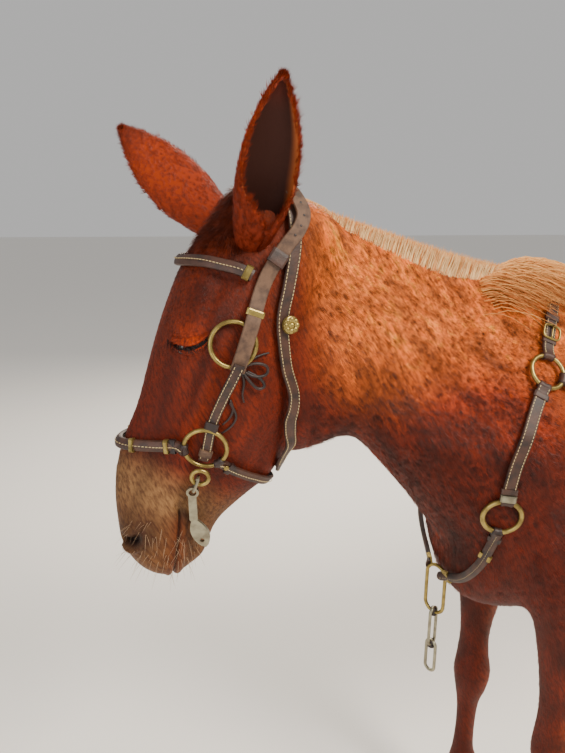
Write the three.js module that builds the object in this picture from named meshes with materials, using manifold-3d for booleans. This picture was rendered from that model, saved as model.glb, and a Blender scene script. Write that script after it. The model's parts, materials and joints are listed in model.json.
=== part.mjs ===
// A standing saddle mule at life size, in its bridle and breast collar.
// Millimetres, +Z up, the mule faces -X and its left side is towards -Y.
// The model is drawn with x = 0 under the withers, and the last lines move it so that the
// origin lies on the floor under the middle of its bounding box.
import * as THREE from "three";
import { mergeVertices } from "three/addons/utils/BufferGeometryUtils.js";
import Module from "manifold-3d";

const wasm = await Module();
wasm.setup();

// Driving dimensions
const GAP = 0.4; // clearance between neighbouring nodes
const POLL = [-675, 1535]; // x, z of the top of the head, between the ears
const HEAD_TILT = 21; // degrees between the head's long axis and the vertical
const EYE_RADIUS = 19;
const EYE_AT = { along: 250, front: 82, side: 66 }; // in the head's own frame
const HOOF_HEIGHT = 72;
const BODY_AROUND = 20; // points round a section of the torso and neck
const HEAD_AROUND = 24;
const LEG_AROUND = 12;
const SIDES = { left: -1, right: 1 };

// Colours of the coat, horn, leather and metal
const COLOURS = {
  coat: 0xa4522a,
  mane: 0xd09a5c,
  hoof: 0x4a3b30,
  eye: 0x1c120c,
  leather: 0x4a2a1c,
  brass: 0xb09a4c,
  steel: 0x9a958c,
};
const FINISH = {
  coat: [0.8, 0],
  mane: [0.75, 0],
  hoof: [0.6, 0],
  eye: [0.1, 0],
  leather: [0.6, 0],
  brass: [0.35, 0.9],
  steel: [0.35, 0.9],
};

const radians = THREE.MathUtils.degToRad;
const vec = (x, y, z) => new THREE.Vector3(x, y, z);

// Solids: a closed mesh becomes a manifold, and a manifold becomes a named mesh
function solid(geometry) {
  const bare = geometry.index ? geometry.toNonIndexed() : geometry.clone();
  bare.deleteAttribute("normal");
  bare.deleteAttribute("uv");
  const merged = mergeVertices(bare, 1e-3);
  const made = new wasm.Manifold(
    new wasm.Mesh({
      numProp: 3,
      vertProperties: merged.attributes.position.array,
      triVerts: new Uint32Array(merged.index.array),
    }),
  );
  return made;
}

function geometryOf(manifold) {
  const mesh = manifold.getMesh();
  const geometry = new THREE.BufferGeometry();
  geometry.setAttribute("position", new THREE.BufferAttribute(mesh.vertProperties, 3));
  geometry.setIndex(new THREE.BufferAttribute(mesh.triVerts, 1));
  return geometry;
}

const union = (solids) => solids.reduce((a, b) => a.add(b));

// Only the largest closed surface of a solid is kept
function largest(manifold) {
  const bodies = manifold.decompose();
  return bodies.reduce((a, b) => (b.volume() > a.volume() ? b : a));
}

const mule = new THREE.Group();

// Cuts leave many slivers, so a node is freed of points that move its surface by less than a hair
const FINE = 0.18;
function addNode(name, material, manifold) {
  const [roughness, metalness] = FINISH[material];
  const look = new THREE.MeshStandardMaterial({ color: COLOURS[material], roughness, metalness });
  const mesh = new THREE.Mesh(geometryOf(largest(largest(manifold).simplify(FINE))), look);
  mesh.name = name;
  mule.add(mesh);
  return mesh;
}

// Uniform Catmull-Rom value between b and c
function spline(a, b, c, d, t) {
  const t2 = t * t;
  const t3 = t2 * t;
  return 0.5 * (2 * b + (c - a) * t + (2 * a - 5 * b + 4 * c - d) * t2 + (3 * b - a - 3 * c + d) * t3);
}

// A section is flat, with Y as its side direction. top and bottom are [x, z] points, widths are
// the half-widths at 18 %, 50 % and 82 % of the way down, and y is the section's middle.
function sectionPoints({ top, bottom, widths, y = 0, levels = [0.18, 0.5, 0.82] }, around, inflate) {
  const down = [bottom[0] - top[0], bottom[1] - top[1]];
  const height = Math.hypot(...down);
  const unit = down.map((v) => v / height);
  const first = -inflate;
  const last = height + inflate;
  const control = [[first, 0]];
  for (let i = 0; i < 3; i++) control.push([levels[i] * height, widths[i] + inflate]);
  control.push([last, 0]);
  for (let i = 2; i >= 0; i--) control.push([levels[i] * height, -widths[i] - inflate]);
  const points = [];
  const n = control.length;
  for (let k = 0; k < around; k++) {
    const place = (k / around) * n;
    const i = Math.floor(place);
    const t = place - i;
    const four = [i - 1, i, i + 1, i + 2].map((j) => control[(j + n) % n]);
    const drop = spline(...four.map((p) => p[0]), t);
    const side = spline(...four.map((p) => p[1]), t);
    points.push(vec(top[0] + unit[0] * drop, y + side, top[1] + unit[1] * drop));
  }
  return points;
}

// Stations are blended by splines so that the loft gets rings sections between each two of them
function blendStations(stations, rings) {
  const blended = [];
  const n = stations.length;
  const pick = (i) => stations[Math.min(Math.max(i, 0), n - 1)];
  for (let i = 0; i < n - 1; i++) {
    for (let k = 0; k < rings; k++) {
      const four = [pick(i - 1), pick(i), pick(i + 1), pick(i + 2)];
      const t = k / rings;
      const mix = (get) => spline(...four.map(get), t);
      blended.push({
        top: [0, 1].map((j) => mix((s) => s.top[j])),
        bottom: [0, 1].map((j) => mix((s) => s.bottom[j])),
        widths: [0, 1, 2].map((j) => mix((s) => s.widths[j])),
        y: mix((s) => s.y ?? 0),
        levels: [0, 1, 2].map((j) => mix((s) => (s.levels ?? [0.18, 0.5, 0.82])[j])),
      });
    }
  }
  blended.push(pick(n - 1));
  return blended;
}

// A closed skin over rings of points, with a middle point at each end
function skinOf(rings) {
  const around = rings[0].length;
  const places = rings.flat();
  const faces = [];
  const at = (r, k) => r * around + (k % around);
  for (let r = 0; r + 1 < rings.length; r++) {
    for (let k = 0; k < around; k++) {
      faces.push(at(r, k), at(r, k + 1), at(r + 1, k + 1), at(r, k), at(r + 1, k + 1), at(r + 1, k));
    }
  }
  const middle = (ring) => ring.reduce((a, p) => a.clone().add(p), vec(0, 0, 0)).divideScalar(around);
  const first = places.push(middle(rings[0])) - 1;
  const last = places.push(middle(rings[rings.length - 1])) - 1;
  for (let k = 0; k < around; k++) {
    faces.push(first, at(0, k + 1), at(0, k), last, at(rings.length - 1, k), at(rings.length - 1, k + 1));
  }
  const geometry = new THREE.BufferGeometry();
  const numbers = places.flatMap((p) => p.toArray());
  geometry.setAttribute("position", new THREE.Float32BufferAttribute(numbers, 3));
  geometry.setIndex(faces);
  return geometry;
}

// A closed skin always faces outwards, whichever way its rings were drawn
function outward(geometry) {
  const made = solid(geometry);
  if (made.volume() > 0) return made;
  const turned = geometry.clone();
  const index = Array.from(turned.index.array);
  for (let i = 0; i < index.length; i += 3) [index[i + 1], index[i + 2]] = [index[i + 2], index[i + 1]];
  turned.setIndex(index);
  return solid(turned);
}

function loft(stations, { around, rings, inflate = 0, reshape = (ring) => ring }) {
  const blended = blendStations(stations, rings);
  return outward(skinOf(blended.map((s) => reshape(sectionPoints(s, around, inflate)))));
}

// The head's frame: along runs from the poll to the lips, front towards the forehead
const tilt = radians(HEAD_TILT);
const ALONG = vec(-Math.sin(tilt), 0, -Math.cos(tilt));
const FRONT = vec(-Math.cos(tilt), 0, Math.sin(tilt));
function inHead(along, front, side = 0) {
  return vec(POLL[0], side, POLL[1]).addScaledVector(ALONG, along).addScaledVector(FRONT, front);
}
function headStation([along, front, back, upper, middle, lower]) {
  const top = inHead(along, front);
  const bottom = inHead(along, -back);
  return { top: [top.x, top.z], bottom: [bottom.x, bottom.z], widths: [upper, middle, lower] };
}

// along, forehead, jaw, half-width at the brow, at the cheek and at the jaw
const HEAD = [
  [-12, 60, 70, 30, 44, 30],
  [10, 88, 110, 46, 70, 45],
  [70, 108, 138, 64, 86, 56],
  [140, 125, 148, 78, 98, 62],
  [200, 129, 150, 86, 104, 62],
  [250, 129, 150, 82, 106, 62],
  [310, 126, 152, 68, 100, 60],
  [370, 122, 150, 54, 86, 56],
  [430, 125, 142, 46, 70, 50],
  [480, 123, 112, 42, 62, 42],
  [530, 111, 84, 44, 59, 37],
  [575, 92, 75, 48, 59, 36],
  [610, 73, 66, 46, 54, 34],
  [635, 48, 55, 34, 42, 28],
  [648, 22, 40, 18, 24, 16],
].map(headStation);

// Swellings and hollows of the head: where they are, how far they reach and how high they stand
const HEAD_FORMS = [
  { along: 232, front: 100, side: 92, reach: [46, 20, 30], rise: 9 }, // brow over the eye
  { along: 150, front: 72, side: 92, reach: [26, 22, 30], rise: -9 }, // hollow behind the brow
  { along: 246, front: 82, side: 92, reach: [26, 30, 30], rise: 7 }, // closed lids
  { along: 330, front: 42, side: 92, reach: [95, 13, 30], rise: 8 }, // facial crest
  { along: 300, front: -60, side: 74, reach: [120, 75, 40], rise: 9 }, // cheek muscle
  { along: 425, front: 60, side: 62, reach: [60, 28, 30], rise: -6 }, // hollow of the nose
  { along: 430, front: -40, side: 60, reach: [50, 40, 30], rise: -5 }, // hollow behind the lips
  { along: 588, front: 62, side: 50, reach: [30, 26, 28], rise: 9 }, // nostril wing
  { along: 548, front: 70, side: 50, reach: [26, 22, 28], rise: -4 }, // soft roof over the nostril
  { along: 615, front: -4, side: 40, reach: [26, 24, 34], rise: 6 }, // upper lip
  { along: 596, front: -62, side: 14, reach: [26, 18, 30], rise: 7 }, // chin
];
function headForms(ring) {
  const centre = ring.reduce((a, p) => a.clone().add(p), vec(0, 0, 0)).divideScalar(ring.length);
  return ring.map((point) => {
    const local = point.clone().sub(vec(POLL[0], 0, POLL[1]));
    const away = point.clone().sub(centre).normalize();
    const along = local.dot(ALONG);
    const front = local.dot(FRONT);
    let rise = 0;
    for (const form of HEAD_FORMS) {
      const far =
        ((along - form.along) / form.reach[0]) ** 2 +
        ((front - form.front) / form.reach[1]) ** 2 +
        ((Math.abs(local.y) - form.side) / form.reach[2]) ** 2;
      rise += form.rise * Math.exp(-far);
    }
    return point.clone().addScaledVector(away, rise);
  });
}

// Neck: crest point, throat point, half-widths
const NECK = [
  { top: [-740, 1475], bottom: [-712, 1190], widths: [34, 62, 46] },
  { top: [-680, 1532], bottom: [-672, 1118], widths: [42, 80, 58] },
  { top: [-615, 1524], bottom: [-618, 1122], widths: [36, 84, 68] },
  { top: [-540, 1497], bottom: [-560, 1136], widths: [32, 86, 76] },
  { top: [-455, 1463], bottom: [-500, 1080], widths: [32, 96, 90] },
  { top: [-370, 1434], bottom: [-430, 998], widths: [36, 116, 108] },
  { top: [-280, 1414], bottom: [-375, 925], widths: [56, 146, 124] },
  { top: [-190, 1410], bottom: [-300, 850], widths: [68, 172, 130] },
  { top: [-90, 1400], bottom: [-200, 850], widths: [62, 158, 110] },
];

// Torso: withers, back, loin and croup above, breast, girth and belly below
const TORSO = [
  [-352, 985, 870, 26, 44, 30],
  [-338, 1060, 806, 62, 108, 76],
  [-300, 1210, 762, 70, 148, 112],
  [-225, 1345, 735, 74, 182, 138],
  [-120, 1412, 730, 70, 200, 146],
  [0, 1436, 742, 66, 218, 150],
  [110, 1416, 752, 98, 244, 168],
  [250, 1388, 762, 140, 275, 192],
  [400, 1376, 776, 160, 290, 205],
  [540, 1386, 806, 172, 284, 196],
  [670, 1404, 862, 184, 264, 158],
  [790, 1410, 940, 184, 250, 130],
  [900, 1394, 1010, 160, 226, 120],
  [1000, 1352, 1062, 118, 186, 100],
  [1070, 1290, 1110, 66, 120, 70],
  [1098, 1240, 1150, 24, 46, 28],
].map(([x, high, low, ...widths]) => ({ top: [x, high], bottom: [x, low], widths }));

// Legs: height, front, back, half-widths at the front, middle and back, middle of the section
const FRONT_LEG = [
  [1190, -200, 0, 20, 34, 20, 118],
  [1090, -270, 20, 44, 72, 46, 122],
  [970, -298, 26, 62, 94, 58, 128],
  [870, -272, 4, 62, 92, 54, 134],
  [800, -240, -34, 50, 74, 44, 136],
  [720, -214, -68, 42, 58, 38, 134],
  [640, -196, -90, 34, 46, 30, 130],
  [560, -186, -106, 28, 38, 25, 127],
  [500, -186, -104, 31, 41, 29, 125],
  [450, -190, -94, 34, 45, 34, 124],
  [405, -182, -100, 30, 39, 29, 123],
  [360, -174, -110, 21, 27, 19, 122],
  [290, -170, -112, 18, 24, 17, 121],
  [225, -170, -108, 21, 28, 20, 120],
  [185, -176, -94, 26, 34, 27, 120],
  [150, -184, -106, 23, 30, 23, 120],
  [112, -200, -132, 22, 28, 21, 120],
  [86, -214, -140, 27, 33, 26, 120],
  [HOOF_HEIGHT, -220, -142, 30, 36, 29, 120],
];
const FRONT_HOOF = [
  [HOOF_HEIGHT, -222, -140, 33, 40, 32, 120],
  [40, -234, -140, 37, 45, 37, 120],
  [8, -247, -141, 41, 50, 42, 120],
  [0, -248, -141, 41, 50, 42, 120],
];
const HIND_LEG = [
  [1330, 800, 980, 30, 50, 30, 90],
  [1240, 720, 1068, 70, 118, 70, 108],
  [1130, 690, 1112, 78, 134, 84, 122],
  [1020, 688, 1112, 74, 126, 80, 132],
  [920, 706, 1088, 62, 104, 62, 138],
  [840, 752, 1062, 50, 84, 48, 140],
  [760, 812, 1048, 40, 64, 36, 138],
  [690, 868, 1048, 32, 48, 27, 134],
  [635, 908, 1058, 28, 39, 21, 130],
  [592, 934, 1066, 29, 38, 20, 128],
  [550, 950, 1062, 31, 40, 25, 126],
  [500, 962, 1046, 28, 36, 24, 125],
  [450, 966, 1036, 22, 28, 19, 124],
  [360, 962, 1026, 19, 25, 18, 122],
  [260, 952, 1016, 20, 26, 18, 120],
  [205, 944, 1014, 24, 31, 23, 120],
  [172, 934, 1012, 26, 34, 27, 120],
  [140, 922, 992, 23, 30, 22, 120],
  [108, 907, 968, 22, 28, 20, 120],
  [86, 896, 962, 26, 32, 25, 120],
  [HOOF_HEIGHT, 890, 962, 29, 35, 28, 120],
];
const HIND_HOOF = [
  [HOOF_HEIGHT, 888, 964, 32, 38, 31, 120],
  [40, 876, 966, 36, 43, 36, 120],
  [8, 862, 966, 40, 47, 41, 120],
  [0, 861, 966, 40, 47, 41, 120],
];
// How far each foot stands behind the plain stance, and the height where that swing begins
const SWING_TOP = 900;
const STEPS = { front_left: 16, front_right: -46, hind_left: 34, hind_right: -52 };

function legStations(rows, side, step) {
  return rows.map(([z, front, back, a, b, c, y]) => {
    const swing = step * Math.max(0, 1 - z / SWING_TOP);
    return { top: [front + swing, z], bottom: [back + swing, z], widths: [a, b, c], y: side * y };
  });
}

// The whole of the flesh, and the same a little larger, for cutting clearances
const bodyLoft = (stations, inflate, rings = 2) => loft(stations, { around: BODY_AROUND, rings, inflate });
const headLoft = (inflate, around = HEAD_AROUND, rings = 2) =>
  loft(HEAD, { around, rings, inflate, reshape: headForms });
const legLoft = (stations, inflate) => loft(stations, { around: LEG_AROUND, rings: 1, inflate });

const LEGS = {};
for (const [sideName, side] of Object.entries(SIDES)) {
  for (const [pair, leg, hoof] of [["front", FRONT_LEG, FRONT_HOOF], ["hind", HIND_LEG, HIND_HOOF]]) {
    const step = STEPS[`${pair}_${sideName}`];
    LEGS[`${pair}_${sideName}`] = {
      leg: legStations(leg, side, step),
      hoof: legStations(hoof, side, step),
    };
  }
}

// Box with its middle at x, y, z, for cutting
function block(x, y, z, sizeX, sizeY, sizeZ, turnY = 0) {
  const geometry = new THREE.BoxGeometry(sizeX, sizeY, sizeZ);
  geometry.rotateY(radians(turnY));
  geometry.translate(x, y, z);
  return solid(geometry);
}

// An ellipsoid in the head's frame
function headBall(along, front, side, radii, turn = 0) {
  const geometry = new THREE.SphereGeometry(1, 14, 8);
  geometry.scale(radii[0], radii[2], radii[1]);
  geometry.rotateY(radians(turn));
  const frame = new THREE.Matrix4().makeBasis(ALONG, vec(0, 1, 0), FRONT);
  const flipped = frame.determinant() < 0;
  geometry.applyMatrix4(frame);
  const at = inHead(along, front, side);
  geometry.translate(at.x, at.y, at.z);
  return flipped ? outward(geometry) : solid(geometry);
}

const HEAD_CUT = -648; // x of the cut between head and neck
const NECK_CUT = { x: -268, z: 1190, turn: 16 }; // middle and lean of the cut between neck and torso
const LEG_CUT = { front: 800, hind: 850 };
const BIG = 3000;

const headWhole = headLoft(0);
const headGrown = headLoft(1.2);
const neckWhole = bodyLoft(NECK, 0);
const torsoWhole = bodyLoft(TORSO, 0);
const neckGrown = bodyLoft(NECK, 1.2);
const torsoGrown = bodyLoft(TORSO, 1.2);
const legWhole = Object.fromEntries(Object.entries(LEGS).map(([k, v]) => [k, legLoft(v.leg, 0)]));
const flesh = union([headWhole, neckWhole, torsoWhole, ...Object.values(legWhole)]);
const fleshGrown = union([
  headGrown,
  neckGrown,
  torsoGrown,
  ...Object.values(LEGS).map((v) => legLoft(v.leg, 1.2)),
]);

// Nodes of the trunk: cut apart by blocks that stand a gap away from each other
const headSide = block(HEAD_CUT - BIG / 2, 0, 1300, BIG, BIG, BIG);
const headGap = headSide.translate([GAP, 0, 0]);
const neckLean = radians(NECK_CUT.turn);
const trunkSide = block(NECK_CUT.x, 0, NECK_CUT.z, BIG, BIG, BIG, NECK_CUT.turn).translate([
  (Math.cos(neckLean) * BIG) / 2,
  0,
  (-Math.sin(neckLean) * BIG) / 2,
]);

// Mouth: a groove along the line of the lips, round both sides
const MOUTH = { corner: 520, tip: 660, back: 2, forward: -30, depth: 9, open: 3 };
function mouthGroove() {
  const slab = new THREE.Shape();
  const middle = (MOUTH.corner + MOUTH.tip) / 2;
  slab.moveTo(MOUTH.corner, MOUTH.back);
  const level = (MOUTH.back + MOUTH.forward) / 2;
  slab.quadraticCurveTo(middle, level - 6, MOUTH.tip, MOUTH.forward - MOUTH.open);
  slab.lineTo(MOUTH.tip, MOUTH.forward);
  slab.quadraticCurveTo(middle, level - 2, MOUTH.corner, MOUTH.back + 1);
  const geometry = new THREE.ExtrudeGeometry(slab, { depth: 200, bevelEnabled: false, curveSegments: 6 });
  geometry.translate(0, 0, -100);
  const frame = new THREE.Matrix4().makeBasis(ALONG, FRONT, vec(0, 1, 0));
  geometry.applyMatrix4(frame);
  const start = inHead(0, 0);
  geometry.translate(start.x, start.y, start.z);
  return outwardPlain(geometry).subtract(headLoft(-MOUTH.depth, HEAD_AROUND / 2, 1));
}

function outwardPlain(geometry) {
  const bare = geometry.index ? geometry.toNonIndexed() : geometry.clone();
  bare.deleteAttribute("normal");
  bare.deleteAttribute("uv");
  return outward(mergeVertices(bare, 1e-3));
}

// Eyes: a ball behind nearly closed lids, seen through the slit between them. The slit's inner corner
// lies lower on the head than its outer one.
const SLIT = { along: 243, front: 87, length: 58, open: 4.5, sag: 11, tilt: 32 };
function eyeSlit(side) {
  const half = SLIT.length / 2;
  const slit = new THREE.Shape();
  slit.moveTo(-half, 0);
  slit.quadraticCurveTo(0, -2 * SLIT.sag - 2 * SLIT.open, half, 0);
  slit.quadraticCurveTo(0, -2 * SLIT.sag + SLIT.open, -half, 0);
  const geometry = new THREE.ExtrudeGeometry(slit, { depth: 60, bevelEnabled: false, curveSegments: 8 });
  geometry.rotateZ(-radians(SLIT.tilt));
  const frame = new THREE.Matrix4().makeBasis(FRONT, ALONG.clone().negate(), vec(0, side, 0));
  geometry.applyMatrix4(frame);
  const at = inHead(SLIT.along, SLIT.front, side * (EYE_AT.side + 2));
  geometry.translate(at.x, at.y, at.z);
  return outwardPlain(geometry);
}

let head = flesh.intersect(headSide);
head = head.subtract(mouthGroove());
const eyeBalls = {};
for (const [sideName, side] of Object.entries(SIDES)) {
  const radii = [EYE_RADIUS, EYE_RADIUS, EYE_RADIUS];
  eyeBalls[sideName] = headBall(EYE_AT.along, EYE_AT.front, side * EYE_AT.side, radii);
  const socket = headBall(EYE_AT.along, EYE_AT.front, side * EYE_AT.side, radii.map((r) => r + GAP));
  head = head.subtract(socket).subtract(eyeSlit(side));
  head = head.subtract(headBall(594, 66, side * 53, [17, 8, 22], -24 * side));
  head = head.subtract(headBall(580, 75, side * 50, [9, 7, 18]));
}

const neck = flesh.subtract(headGap).subtract(trunkSide);
const trunk = flesh.intersect(trunkSide.translate([GAP, 0, 0]));

// Ears: a leaf-shaped cup. base and tip place the ear, open is the way its cup faces.
const EARS = {
  left: { base: [-746, -62, 1462], tip: [-717, -122, 1690], open: [0.4, -1, 0.1] },
  right: { base: [-742, 60, 1476], tip: [-916, 152, 1662], open: [0.1, 1, -0.25] },
};
// share of the length, half-width, depth of the cup
const EAR_FORM = [
  [0, 33, 30],
  [0.12, 36, 31],
  [0.28, 43, 30],
  [0.45, 50, 27],
  [0.6, 49, 22],
  [0.75, 40, 16],
  [0.87, 27, 11],
  [0.95, 15, 7],
  [1, 5, 3],
];
const EAR_WALL = 4;
const EAR_CUP_FROM = 0.14; // share of the length where the cup begins

function earFrame({ base, tip, open }) {
  const start = vec(...base);
  const up = vec(...tip).sub(start);
  const length = up.length();
  up.normalize();
  const facing = vec(...open);
  facing.addScaledVector(up, -facing.dot(up)).normalize();
  const across = new THREE.Vector3().crossVectors(up, facing);
  return { start, length, up, facing, across };
}

function earRings(frame, form, shift, around = 16) {
  return form.map(([share, width, depth]) => {
    const ring = [];
    for (let k = 0; k < around; k++) {
      const angle = (k / around) * 2 * Math.PI;
      ring.push(
        frame.start
          .clone()
          .addScaledVector(frame.up, share * frame.length)
          .addScaledVector(frame.across, width * Math.cos(angle))
          .addScaledVector(frame.facing, depth * Math.sin(angle) + shift(share, depth)),
      );
    }
    return ring;
  });
}

function ear(place) {
  const frame = earFrame(place);
  const outer = outward(skinOf(earRings(frame, EAR_FORM, () => 0)));
  const cup = EAR_FORM.filter(([share]) => share >= EAR_CUP_FROM - 0.03 && share < 0.97).map(
    ([share, width, depth]) => [share, Math.max(width - EAR_WALL, 4), depth],
  );
  const inner = outward(skinOf(earRings(frame, cup, (share, depth) => EAR_WALL + 0.28 * depth)));
  return outer.subtract(inner);
}

// Closest place on the flesh, with the way the skin faces there
const fleshGeometry = geometryOf(flesh);
const fleshFaces = [];
{
  const index = fleshGeometry.index.array;
  const place = fleshGeometry.attributes.position;
  for (let i = 0; i < index.length; i += 3) {
    const [a, b, c] = [0, 1, 2].map((k) => new THREE.Vector3().fromBufferAttribute(place, index[i + k]));
    const face = new THREE.Triangle(a, b, c);
    const middle = face.getMidpoint(new THREE.Vector3());
    const reach = Math.max(a.distanceTo(middle), b.distanceTo(middle), c.distanceTo(middle));
    fleshFaces.push({ face, middle, reach, normal: face.getNormal(new THREE.Vector3()) });
  }
}
function onSkin(guide) {
  let best = Infinity;
  let found = null;
  const spot = new THREE.Vector3();
  for (const item of fleshFaces) {
    if (item.middle.distanceTo(guide) - item.reach > best) continue;
    item.face.closestPointToPoint(guide, spot);
    const far = spot.distanceTo(guide);
    if (far < best) {
      best = far;
      found = { at: spot.clone(), normal: item.normal };
    }
  }
  return found;
}

// Things already laid on the skin, that later straps have to pass over
const laid = [];
const ray = new THREE.Raycaster();
const RAY_START = 70;
function heightOver(point, normal, meshes) {
  ray.set(point.clone().addScaledVector(normal, RAY_START), normal.clone().negate());
  ray.far = RAY_START + 30;
  const hits = ray.intersectObjects(meshes, false);
  return hits.length ? RAY_START - hits[0].distance : -Infinity;
}
const fleshMesh = new THREE.Mesh(fleshGeometry, new THREE.MeshBasicMaterial({ side: THREE.DoubleSide }));
const asMesh = (manifold) =>
  new THREE.Mesh(geometryOf(manifold), new THREE.MeshBasicMaterial({ side: THREE.DoubleSide }));

// A round ring lying flat on the skin
const RING_SEGMENTS = [6, 18];
function ringOn(guide, radius, tube, { over = [], clear = 1.5 } = {}) {
  const { at, normal } = onSkin(guide);
  const across = new THREE.Vector3().crossVectors(normal, vec(0, 0, 1)).normalize();
  const up = new THREE.Vector3().crossVectors(across, normal).normalize();
  const meshes = [fleshMesh, ...over.map((o) => o.mesh)];
  let high = 0;
  for (let k = 0; k < 24; k++) {
    const angle = (k / 24) * 2 * Math.PI;
    const rim = at
      .clone()
      .addScaledVector(across, radius * Math.cos(angle))
      .addScaledVector(up, radius * Math.sin(angle));
    high = Math.max(high, heightOver(rim, normal, meshes));
  }
  const centre = at.clone().addScaledVector(normal, high + tube + clear);
  const place = new THREE.Matrix4().makeBasis(across, up, normal).setPosition(centre);
  const torus = (thick) => {
    const geometry = new THREE.TorusGeometry(radius, thick, ...RING_SEGMENTS);
    geometry.applyMatrix4(place);
    return outwardPlain(geometry);
  };
  const made = torus(tube);
  return { centre, normal, across, up, radius, tube, made, grown: torus(tube + GAP), mesh: asMesh(made) };
}
function rimPoint(ring, toward) {
  const way = toward.clone().sub(ring.centre);
  way.addScaledVector(ring.normal, -way.dot(ring.normal)).normalize();
  return { at: ring.centre.clone().addScaledVector(way, ring.radius), way };
}

// A strap follows guide points over the skin and over whatever is laid already. Its ends may be
// folded round a ring.
const STRAP_CLEAR = 2.8;
function layStrap(guides, options) {
  const { width, thick = 4.5, step = 24, closed = false, start, end, over = laid, bulge = 0 } = options;
  const route = guides.map((g) => onSkin(g).at);
  if (start) route.unshift(rimPoint(start, route[0]).at);
  if (end) route.push(rimPoint(end, route[route.length - 1]).at);
  const curve = new THREE.CatmullRomCurve3(route, closed, "centripetal");
  const count = Math.max(4, Math.round(curve.getLength() / step));
  const spaced = curve.getSpacedPoints(count);
  if (closed) spaced.pop();
  const n = spaced.length;
  const near = (i) => (closed ? (i + n) % n : Math.min(Math.max(i, 0), n - 1));
  const skin = spaced.map((p) => onSkin(p));
  let normals = skin.map((s) => s.normal.clone());
  for (let pass = 0; pass < 3; pass++) {
    const last = normals;
    normals = last.map((v, i) => v.clone().add(last[near(i - 1)]).add(last[near(i + 1)]).normalize());
  }
  const places = skin.map((s) => s.at);
  const frames = places.map((at, i) => {
    const along = places[near(i + 1)].clone().sub(places[near(i - 1)]).normalize();
    const side = new THREE.Vector3().crossVectors(along, normals[i]).normalize();
    const normal = new THREE.Vector3().crossVectors(side, along).normalize();
    return { at, side, normal };
  });
  const obstacles = over.filter((o) => o !== start && o !== end).map((o) => o.mesh);
  const own = frames.map(({ at, side, normal }) => {
    let high = 0;
    for (const across of [-0.5, 0, 0.5]) {
      const spot = at.clone().addScaledVector(side, across * width);
      high = Math.max(high, heightOver(spot, normal, [fleshMesh]));
      high = Math.max(high, heightOver(spot, normal, obstacles) + 0.6);
    }
    return Math.min(high, 28);
  });
  const widest = own.map((h, i) => Math.max(h, own[near(i - 1)], own[near(i + 1)]));
  let heights = widest.map((h, i) => Math.max(h, (widest[near(i - 1)] + h + widest[near(i + 1)]) / 3));
  heights = heights.map((h) => h + STRAP_CLEAR + bulge);
  const atEnd = (ring, i, direction) => {
    const level = ring.centre.clone().sub(frames[i].at).dot(frames[i].normal) - thick / 2;
    for (let k = 0; k < 3; k++) {
      const j = i + k * direction;
      heights[j] = k ? Math.max(heights[j], level * (1 - k / 3)) : level;
    }
  };
  if (start) atEnd(start, 0, 1);
  if (end) atEnd(end, n - 1, -1);
  const body = (extra) => {
    const rings = frames.map(({ at, side, normal }, i) => {
      const corner = (s, h) => at.clone().addScaledVector(side, s).addScaledVector(normal, h);
      const half = width / 2 + extra;
      const low = heights[i] - extra;
      const high = heights[i] + thick + extra;
      return [corner(-half, low), corner(half, low), corner(half, high), corner(-half, high)];
    });
    if (closed) return closedSweep(rings);
    return outward(skinOf(rings));
  };
  let made = body(0);
  let grown = body(GAP);
  for (const ring of [start, end]) {
    if (!ring) continue;
    const { at, way } = rimPoint(ring, ring === start ? frames[1].at : frames[n - 2].at);
    const tangent = new THREE.Vector3().crossVectors(ring.normal, way);
    made = made.add(foldRound(at, tangent, width, ring.tube + 4));
    grown = grown.add(foldRound(at, tangent, width + 2 * GAP, ring.tube + 4 + GAP));
  }
  made = made.subtract(fleshGrown);
  for (const other of over) made = made.subtract(other.grown);
  made = largest(made);
  const item = { made, grown, mesh: asMesh(made), frames, heights };
  return item;
}
function foldRound(at, axis, width, radius) {
  const geometry = new THREE.CylinderGeometry(radius, radius, width, 8);
  const turn = new THREE.Quaternion().setFromUnitVectors(vec(0, 1, 0), axis);
  geometry.applyQuaternion(turn);
  geometry.translate(at.x, at.y, at.z);
  return outwardPlain(geometry);
}
function closedSweep(rings) {
  const around = rings[0].length;
  const n = rings.length;
  const places = rings.flat();
  const at = (r, k) => (r % n) * around + (k % around);
  const faces = [];
  for (let r = 0; r < n; r++) {
    for (let k = 0; k < around; k++) {
      faces.push(at(r, k), at(r, k + 1), at(r + 1, k + 1), at(r, k), at(r + 1, k + 1), at(r + 1, k));
    }
  }
  const geometry = new THREE.BufferGeometry();
  const numbers = places.flatMap((p) => p.toArray());
  geometry.setAttribute("position", new THREE.Float32BufferAttribute(numbers, 3));
  geometry.setIndex(faces);
  return outward(geometry);
}

function lay(name, material, item) {
  laid.push(item);
  addNode(name, material, item.made);
  return item;
}
// Guide points in the head's frame, on one side or across the head to the other
const onHead = (points, side = 1) => points.map(([along, front, y]) => inHead(along, front, side * y));
const bothSides = (half) => [
  ...half.map(([a, b, y]) => [a, b, -y]),
  ...half
    .filter((p) => p[2] !== 0)
    .reverse(),
];

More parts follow.
